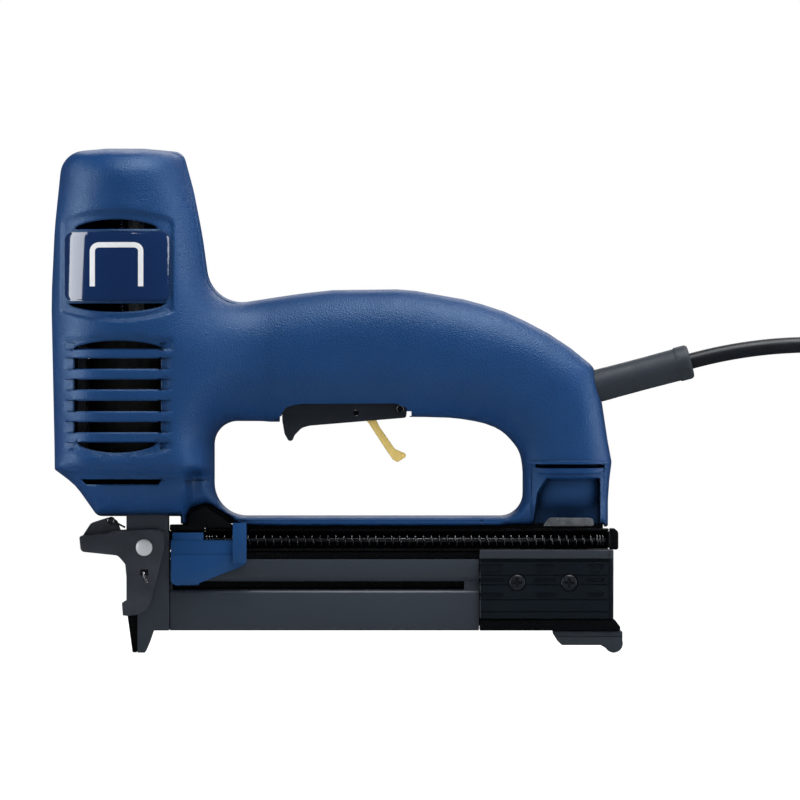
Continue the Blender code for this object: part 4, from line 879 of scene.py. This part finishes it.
# ---------------------------------------------------------------- trigger group
def build_trigger():
    line = [(63.6, 101.8, 1), (63.5, 104.3, 1), (65.4, 107, 2), (71, 108.7, 6), (79.2, 109, 0), (113.1, 109, 2),
            (117.6, 107.4, 1.5), (118.3, 105.2, 1), (117.9, 103.1, 1), (75.6, 99.6, 6), (72, 98.6, 4),
            (68.8, 95.3, 3), (67.9, 92.9, 1), (66.3, 93, 1), (64.6, 96, 2)]
    bay = [(91.5, 94), (119.5, 94), (119.5, 104.2), (109.5, 104.6), (108, 107.4), (91.5, 107.4)]
    sx, sz = SAFETY_PIVOT
    tx, tz = TRIGGER_PIVOT
    flange = [(61.1, 104.4), (117.6, 104.4), (119.2, 107.5), (119.2, 111.4), (61.1, 111.4)]
    piece("trigger_blade", prism(rounded(line, 8, 99), -9, 9), "trigger", edge=0.6, segments=3, limit=60,
          joins=[prism(flange, 7.8, 9.2, prism(flange, -9.2, -7.8))],
          cuts=[prism(bay, -3, 3), rod((sx, -20, sz), (sx, 20, sz), 1.28), rod((tx, -20, tz), (tx, 20, tz), 1.48)])
    pin = [(0, -12.4), (1.1, -12.4), (1.45, -12.0), (1.45, 12.0), (1.1, 12.4), (0, 12.4)]
    piece("trigger_pivot_pin", lathe(pin, (tx, 0, tz), "Y", 32), "trigger_pin", mat="gloss_steel", smooth=30)
    frame["nodes"]["safety_pin"].data.materials[0] = MAT["gloss_steel"]
    line = [(93.6, 105.2, 2), (94, 107, 1.5), (97, 107.2, 1.5), (104.6, 102.6, 2), (106.4, 99, 2), (110.6, 92.9, 3),
            (113, 89.4, 2), (115.8, 88.2, 1), (117.9, 87.3, 0.8), (117.8, 85.8, 0.8), (114.2, 83.5, 0.8),
            (112.2, 84.6, 1), (109.6, 88.3, 2), (101, 101.4, 3), (97.4, 103, 1), (94.4, 102.8, 1)]
    piece("yellow_safety", prism(rounded(line, 10, 99), -2.5, 2.5), "safety_lever", edge=0.5, segments=3, limit=50,
          cuts=[rod((sx, -20, sz), (sx, 20, sz), 1.5)])


# ---------------------------------------------------------------- nose
def build_nose():
    line = [(1.4, 0, 0.2), (3.3, 0, 0.5), (5.2, 4.4, 1), (7, 9.7, 0.6), (14, 9.7, 0.3), (14, 52, 0.5), (13.6, 53.8, 0),
            (13.6, 65.7, 0), (-4.8, 65.7, 0), (-4.8, 53.8, 0), (1.4, 53.8, 0)]
    cheek = [(0.1, 0), (1.6, 0), (1.6, 37), (0.1, 37)]
    piece("nose_guide", prism(rounded(line, 15, 99), -10, 10), "nose_frame", mat="black_steel", soft=0.2,
          joins=[block(-4.7, 13.5, -12, 12, 53.9, 65.6), prism(cheek, 7, 9.9, prism(cheek, -9.9, -7)),
                 block(13, 16, 7.5, 9.9, 44.8, 53.2)],
          cuts=[block(-0.4, 1.8, -3.3, 3.3, 40, 70), block(0, 20, -3.8, 3.8, 11.2, 41.6),
                rod((PIVOT_X, -20, PIVOT_Z), (PIVOT_X, 20, PIVOT_Z), 2.15)])
    line = [(-4.4, 16, 1), (-2.2, 0, 0.6), (-0.3, 0, 0.3), (-0.3, 44.5, 0.3), (-3.3, 44.5, 0.5), (-3.6, 22, 2),
            (-4.4, 20, 1)]
    ear = rounded([(-3.2, 40), (-0.5, 40, 0), (7, 42.5, 2), (7, 50.3, 3.8), (-0.8, 50.3, 3.8), (-3.2, 46, 2)], 12)
    piece("nose_front_door", prism(rounded(line, 15, 99), -11.6, 11.6), "nose_door", mat="gloss_steel", edge=0.3,
          cuts=[block(-6, -0.1, -14, -6.4, -2, 38, block(-6, -0.1, 6.4, 14, -2, 38)),
                rod((PIVOT_X, -20, PIVOT_Z), (PIVOT_X, 20, PIVOT_Z), 2.15)],
          joins=[prism(ear, 10.3, 11.6, prism(ear, -11.6, -10.3))])
    line = [(-25.4, 51.2, 1), (-12.8, 52.4, 2), (-10, 53.6, 2), (7, 54.2, 2), (11.7, 53.8, 4), (12, 47, 8),
            (9.5, 36, 8), (6.2, 23, 3), (4.4, 18.9, 2), (0.4, 16.7, 1), (-4.2, 16.2, 0.5), (-6.3, 16.4, 0.3),
            (-6.7, 22, 0.5), (-4.7, 23, 0.5), (-4.7, 33.5, 1), (-5.2, 39, 2), (-8.5, 42.7, 3), (-24.7, 44.4, 2)]
    hollow = [(-23.4, 30), (-23.4, 49.4), (-12.6, 50.6), (-9.6, 51.8), (-6.5, 51.9), (-6.5, 60), (30, 60), (30, 0),
              (-12, 0)]
    hump = rounded([(-24.6, 50.4, 0), (-20.4, 56.9, 3), (-13.2, 59.2, 2), (-9.4, 58, 2), (-7.4, 52.5, 1),
                    (-12, 51, 0)], 10, 99)
    piece("latch_lever", prism(rounded(line, 8, 99), -14.3, 14.3), "nose_latch", edge=0.55, segments=3, limit=50,
          joins=[prism(hump, -9.5, 9.5)],
          cuts=[prism(hollow, -12.8, 12.8), block(1.3, 4.9, -20, 20, 33.9, 36.6),
                block(-4.9, 8.6, -14.6, -14.15, 34.35, 34.6), block(-4.9, 8.6, 14.15, 14.6, 34.35, 34.6),
                rod((PIVOT_X, -20, PIVOT_Z), (PIVOT_X, 20, PIVOT_Z), 2.15)])
    head = [(0, -16.45), (1.0, -16.4), (2.0, -16.2), (2.9, -15.8), (3.45, -15.25), (3.65, -14.7), (1.8, -14.7),
            (1.8, 14.7), (3.65, 14.7), (3.45, 15.25), (2.9, 15.8), (2.0, 16.2), (1.0, 16.4), (0, 16.45)]
    piece("latch_rivet", lathe(head, (PIVOT_X, 0, PIVOT_Z), "Y", 64), "latch_pin", mat="rivet_steel",
          smooth=30)
    hook = [(4.4, -15.1, 30.6), (3.6, -15.05, 33), (3.2, -15.0, 34.3), (3, -14.4, 35.2), (3, -12.3, 35.3),
            (6.5, -12.25, 38.5)]
    piece("latch_hook_wire", wire(hook, 0.5, 4), "latch_wire", mat="spring_steel")
    loop = [(-5.3, -11.2, 55), (-9.5, -11.2, 57.2)]
    loop += [(-11.4 + 1.3 * math.cos(a), -11.2 + 0.13 * a, 58 + 1.3 * math.sin(a))
             for a in np.linspace(-0.6, 5.4, 28)]
    piece("latch_torsion_wire", wire(loop, 0.42, 4), "latch_spring", mat="spring_dark")
    wall = [(14.4, 45.9), (33, 45.9), (33, 53.1), (29.2, 53.1), (29.2, 53.9), (14.4, 53.9)]
    bracket = [(14.2, 53.6), (29.2, 53.6), (29.2, 54.7), (46, 54.7), (40.5, 56.4, 2), (36.5, 59.4, 2), (29.6, 63.8, 2),
               (24.4, 62.2, 1), (22.3, 59.4, 0.6), (22.3, 56.1, 0.5), (14.2, 56.1, 0.4)]
    piece("bracket_plate", prism(rounded(bracket, 15, 99), -9.5, 9.5), "magazine_bracket", mat="gloss_steel", edge=0.35,
          joins=[prism(BRACKET_TONGUE, -5, 5), prism(wall, 2, 7)], cuts=[block(29.35, 60, -5.4, 5.4, 54, 56.6)])


# ---------------------------------------------------------------- magazine
def build_magazine():
    h, t = MAG_HALF, 1.2
    outer = [(-h, 10.5), (-h + 0.3, 9.95), (-h + 0.8, MAG_Z0), (h - 0.8, MAG_Z0), (h - 0.3, 9.95), (h, 10.5), (h, 25.9),
             (h - 0.2, 26.5), (h - 0.7, 27.1), (h - 2, 27.5), (h - 2, 31.4), (h - 1, 31.9), (h - 0.3, 32.7), (h, 33.8),
             (h, MAG_Z1)]
    inner = [(h - t, MAG_Z1), (h - t, 33), (h - t - 2, 32), (h - t - 2, 26.8), (h - t, 26), (h - t, 11), (-h + t, 11),
             (-h + t, 26), (-h + t + 2, 26.8), (-h + t + 2, 32), (-h + t, 33), (-h + t, MAG_Z1)]
    left = [(-h, MAG_Z1), (-h, 33.8), (-h + 0.3, 32.7), (-h + 1, 31.9), (-h + 2, 31.4), (-h + 2, 27.5),
            (-h + 0.7, 27.1), (-h + 0.2, 26.5), (-h, 25.9)]
    top = [(119, 45), (119, 42.1), (143, 42.1), (147, 41.4), (150, 40.4), (152, 45)]
    piece("magazine_channel", profile(outer + inner + left, MAG_X0, MAG_X1), "magazine_body", smooth=25, soft=0.12,
          cuts=[block(15.5, 143.5, -12, -3.5, 27.6, 31.3), prism([(148.6, 42), (152, 42), (152, 39.6)], -20, 20)])
    rail = [(-2.2, 11.6), (2.2, 11.6), (2.2, 41.3), (7.6, 41.3), (7.6, 44.2), (-7.6, 44.2), (-7.6, 41.3), (-2.2, 41.3)]
    piece("staple_rail", profile(rail, 1.8, 203), "magazine_rail", mat="gloss_steel", smooth=25, edge=0.3,
          cuts=[block(0, 14.4, -9, 9, 40.6, 46), block(29.6, 205, 2.9, 5.1, 43, 46)])
    x0, x1, c0, c1 = CHANNEL
    t = 1
    channel = [(-8.5, c0), (8.5, c0), (8.5, c1), (-8.5, c1), (-8.5, c1 - t), (7.5, c1 - t), (7.5, c0 + t), (-8.5, c0 + t)]
    piece("spring_guide", profile(channel, x0, x1), "spring_channel", mat="gloss_steel", smooth=25, edge=0.22,
          segments=3, joins=[block(29.8, 204.5, -5, 5, 54, 56.2), block(30, 203, 3.2, 4.8, 43.3, 45),
                             block(166.4, 204.4, -4, 4, 55, 61)])
    piece("spring_guide_rod", rod((14.6, SPRING_Y, SPRING_Z), (206.1, SPRING_Y, SPRING_Z), 1.2, 32), "spring_rod",
          mat="spring_steel", edge=0.25)
    coils = coil_points((30, SPRING_Y, SPRING_Z), (1, 0, 0), SPRING_R, 175.2, 54, 24, 3)
    piece("pusher_coil", wire(coils, 0.4, 3), "pusher_spring", mat="spring_dark", smooth=0)
    cap = rounded([(207.3, 45.2, 0.4), (211.2, 45.2, 1), (211.2, 53, 1.5), (209.4, 54.6, 1), (207.3, 54.6, 0.4)], 15)
    piece("spring_end_stop", prism(cap, -8.4, -1.6), "spring_end_cap", mat="gloss_steel", edge=0.5, segments=3,
          joins=[block(206.5, 208.5, -7.9, 7.1, c0 + 1.3, c1 - 1.3)])
    line = [(14.8, 49.3, 0.3), (48, 49.3, 0.3), (48, 40.3, 0.8), (46.6, 38.2, 1), (25.7, 29.9, 2), (16.7, 29.5, 1.5),
            (14.8, 31, 1)]
    ledge = [(14.4, 42.95), (41.9, 42.95), (41.9, 50), (14.4, 50)]
    piece("pusher_shoe", prism(rounded(line, 12, 99), -12.4, -9.4), "pusher", mat="pusher_blue", edge=0.4, segments=3,
          joins=[block(15.4, 29, -11, -1.9, 46.1, 52.7), block(42, 48, -16, -12, 39.3, 57),
                 block(17.5, 27, -10, -2.6, 29.6, 30.8)],
          cuts=[prism(ledge, -13, -11.9), rod((0, SPRING_Y, SPRING_Z), (60, SPRING_Y, SPRING_Z), 1.7)], soft=0.18)


def build_rear():
    h = 12
    grooves = [(45.2, 41.4), (39.4, 36.2)]
    line = [(-h, 14.9), (h, 14.9), (h, 45.2), (8.9, 45.2), (8.9, 41), (-8.9, 41), (-8.9, 45.2), (-h, 45.2)]
    cuts = [block(149, 203.5, -2.6, 2.6, 11, 41.2)]
    ways = bmesh.new()
    for z, half, deep in ((40.6, 0.75, 1.1), (34.0, 0.3, 0.45), (29.9, 0.3, 0.45), (23.3, 0.3, 0.45), (18.0, 0.3, 0.45)):
        for s in (-1, 1):
            y0, y1 = sorted((s * (h + 1), s * (h - deep)))
            block(149, 207.0, y0, y1, z - half, z + half, ways)
    cuts.append(ways)
    insets = bmesh.new()
    rows = ((39.1, 34.9, 0.8), (32.9, 31.0, 0.0), (26.4, 24.3, 0.6))
    for z1, z0, slant in rows:
        for x0, x1 in ((149, 160.8), (174.5, 183.6), (197.6, 204.8)):
            k = slant * (z1 - z0) / 2
            for s in (-1, 1):
                y0, y1 = sorted((s * (h + 1), s * (h - 0.6)))
                prism([(x0 + k, z0), (x1 - k, z0), (x1, z1), (x0, z1)], y0, y1, insets)
    cuts.append(insets)
    strip = bmesh.new()
    for s in (-1, 1):
        y0, y1 = sorted((s * (h + 1), s * (h - 0.5)))
        block(206.9, 207.3, y0, y1, 14, 46, strip)
    cuts.append(strip)
    for x in (166.7, 189.5):
        cuts.append(rod((x, -20, 30.8), (x, -4.6, 30.8), 1.7))
        cuts.append(rod((x, -20, 30.8), (x, -10.4, 30.8), 3.9, 48))
    piece("ribbed_rear_block", profile(line, 150.3, 209), "rear_block", mat="rear_plastic", edge=0.5, segments=3,
          cuts=cuts, smooth=25)
    for i, x in enumerate((166.7, 189.5)):
        head = [(0, -1.75), (2.6, -1.7), (3.2, -1.5), (3.5, -1.1), (3.6, -0.6), (3.6, 0), (1.4, 0), (1.4, 5.2), (0, 5.2)]
        piece(f"block_screw_{i + 1}", lathe(head, (x, -10.7, 30.8), "Y", 48), f"rear_block_screw_{i + 1}",
              mat="screw_steel", cuts=[cross((x, -12.9, 30.8), 1.6, 2.1, 0.55)])
    plate = [(150.3, 9.7, 0), (212, 9.7, 0.5), (212, 11.4, 0.5), (209.6, 14.5, 0.4), (150.3, 14.5, 0)]
    piece("rear_base", prism(rounded(plate, 12, 99), -11, 11), "base_plate", mat="gloss_steel", edge=0.3,
          cuts=[block(149, 203.5, -2.6, 2.6, 11.3, 16), block(185.6, 209.4, 3, 8, 9, 11.4)])
    foot = [(182.4, 9.4, 0), (182.6, 8, 0.3), (184.5, 5, 1.0), (186.4, 3.3, 1.5), (203.4, 3.3, 0)]
    heel = [(209.1 + 4.05 * math.cos(a), 4.05 + 4.05 * math.sin(a)) for a in np.linspace(-2.6, 0.3, 22)]
    line = rounded(foot, 12, 99) + heel + [(213, 9.4)]
    piece("rubber_foot", prism(line, -10, 10), "rear_foot", edge=0.6, segments=3, joins=[block(186, 209, 3.3, 7.7, 9, 11)],
          cuts=[block(184.5, 220, -10.6, -9.6, 6.9, 7.3), block(184.5, 220, 9.6, 10.6, 6.9, 7.3)])
    plate = rounded([(178, 55.6, 0), (200.6, 55.6, 1), (199.8, 59.2, 1.5), (180.5, 59.4, 2.5)], 12, 99)
    piece("worn_bracket", prism(plate, -13.6, -11), "rear_bracket", mat="worn_steel", edge=0.5)


def build_soft_springs():
    """Shows the two CAD coil springs as copies with meshes of their own on their bodies, and gives the pusher coil its
    own mesh.
    """
    for node, joint, fixed_z, keep in (("trigger_spring", "trigger_pull", 117.5, 0.36),
                                       ("return_spring", "driver_stroke", 147.0, 0.275)):
        coil = bpy.data.objects.new(node + "_coil", frame["nodes"][node].data.copy())
        bpy.context.scene.collection.objects.link(coil)
        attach(coil, BODY_OF[node])
        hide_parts(node)
        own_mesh(coil)
    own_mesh(bpy.data.objects["pusher_coil"])


build_housing()
build_badges()
build_cord()
build_trigger()
build_nose()
build_magazine()
build_rear()
build_soft_springs()


# ---------------------------------------------------------------- stage, light and camera
def build_stage():
    n = Nodes("pale_floor")
    n.main.inputs["Roughness"].default_value = 0.9
    tone = n.mix(n.remap(n.noise(3, 2), 0.3, 0.7, 0, 1), (0.86, 0.865, 0.87), (0.9, 0.9, 0.9))
    n.link(tone, n.main.inputs["Base Color"])
    glow = n.new("Emission")
    glow.inputs["Strength"].default_value = 1.45
    mixer = n.new("MixShader")
    ray = n.new("LightPath")
    part = n.new("Math", operation="MULTIPLY")
    n.link(ray.outputs["Is Camera Ray"], part.inputs[0])
    part.inputs[1].default_value = 0.72
    n.link(part.outputs[0], mixer.inputs[0])
    n.link(n.main.outputs[0], mixer.inputs[1])
    n.link(glow.outputs[0], mixer.inputs[2])
    out = [x for x in n.tree.nodes if x.type == "OUTPUT_MATERIAL"][0]
    n.link(mixer.outputs[0], out.inputs["Surface"])
    bm = bmesh.new()
    bmesh.ops.create_grid(bm, x_segments=24, y_segments=24, size=2.4)
    for v in bm.verts:
        v.co.z = -0.0005 - 0.02 * max(0, v.co.length - 1.6) ** 2
    data = mesh_from(bm, "floor")
    data.materials.append(n.mat)
    data.shade_smooth()
    floor = bpy.data.objects.new("floor", data)
    bpy.context.scene.collection.objects.link(floor)
    floor.visible_glossy = False


def build_world():
    world = bpy.data.worlds.new("studio")
    world.use_nodes = True
    tree = world.node_tree
    back = tree.nodes["Background"]
    back.inputs["Color"].default_value = (0.92, 0.96, 1.0, 1)
    clear = tree.nodes.new("ShaderNodeBackground")
    clear.inputs["Color"].default_value = (1, 1, 1, 1)
    ray = tree.nodes.new("ShaderNodeLightPath")
    dim = tree.nodes.new("ShaderNodeMapRange")
    dim.inputs["To Min"].default_value, dim.inputs["To Max"].default_value = 0.13, 0.03
    tree.links.new(ray.outputs["Is Glossy Ray"], dim.inputs["Value"])
    tree.links.new(dim.outputs["Result"], back.inputs["Strength"])
    mixer = tree.nodes.new("ShaderNodeMixShader")
    tree.links.new(ray.outputs["Is Camera Ray"], mixer.inputs[0])
    tree.links.new(back.outputs[0], mixer.inputs[1])
    tree.links.new(clear.outputs[0], mixer.inputs[2])
    tree.links.new(mixer.outputs[0], tree.nodes["World Output"].inputs["Surface"])
    bpy.context.scene.world = world


def softbox(name, place, target, width, height, watts, colour=(1, 1, 1), mirrored=True):
    data = bpy.data.lights.new(name, "AREA")
    data.shape, data.size, data.size_y, data.energy, data.color = "RECTANGLE", width, height, watts, colour
    ob = bpy.data.objects.new(name, data)
    bpy.context.scene.collection.objects.link(ob)
    ob.location = place
    ob.rotation_mode = "QUATERNION"
    ob.rotation_quaternion = (Vector(target) - Vector(place)).to_track_quat("-Z", "Y")
    ob.visible_camera = False
    ob.visible_glossy = mirrored


CENTRE = ((115.3 + SHIFT) * MM, 0, 110.9 * MM)


def build_light_and_camera():
    softbox("left_box", (-1.3, -0.1, 0.3), (0.0, 0, 0.12), 0.75, 1.3, 15, (0.94, 0.97, 1))
    softbox("right_box", (1.3, 0.05, 0.2), (0.1, 0, 0.12), 0.6, 1.0, 7, (0.94, 0.97, 1))
    softbox("top_right", (0.4, -0.3, 1.3), (0.08, 0, 0.1), 1.3, 0.8, 19)
    softbox("front_fill", (0.6, -1.6, 0.6), (0.08, 0, 0.1), 0.8, 0.8, 4.5, mirrored=False)
    softbox("behind", (0.3, 1.3, 0.9), (0.1, 0, 0.1), 1.2, 0.6, 5)
    cam = bpy.data.cameras.new("camera")
    cam.sensor_width = 36
    cam.lens = 36 * 4000 / 352
    cam.clip_end = 50
    ob = bpy.data.objects.new("camera", cam)
    bpy.context.scene.collection.objects.link(ob)
    ob.location = (CENTRE[0], -4.0, CENTRE[2])
    ob.rotation_euler = (math.pi / 2, 0, 0)
    bpy.context.scene.camera = ob
    view = bpy.context.scene.view_settings
    view.view_transform = "Standard"


build_stage()
build_world()
build_light_and_camera()
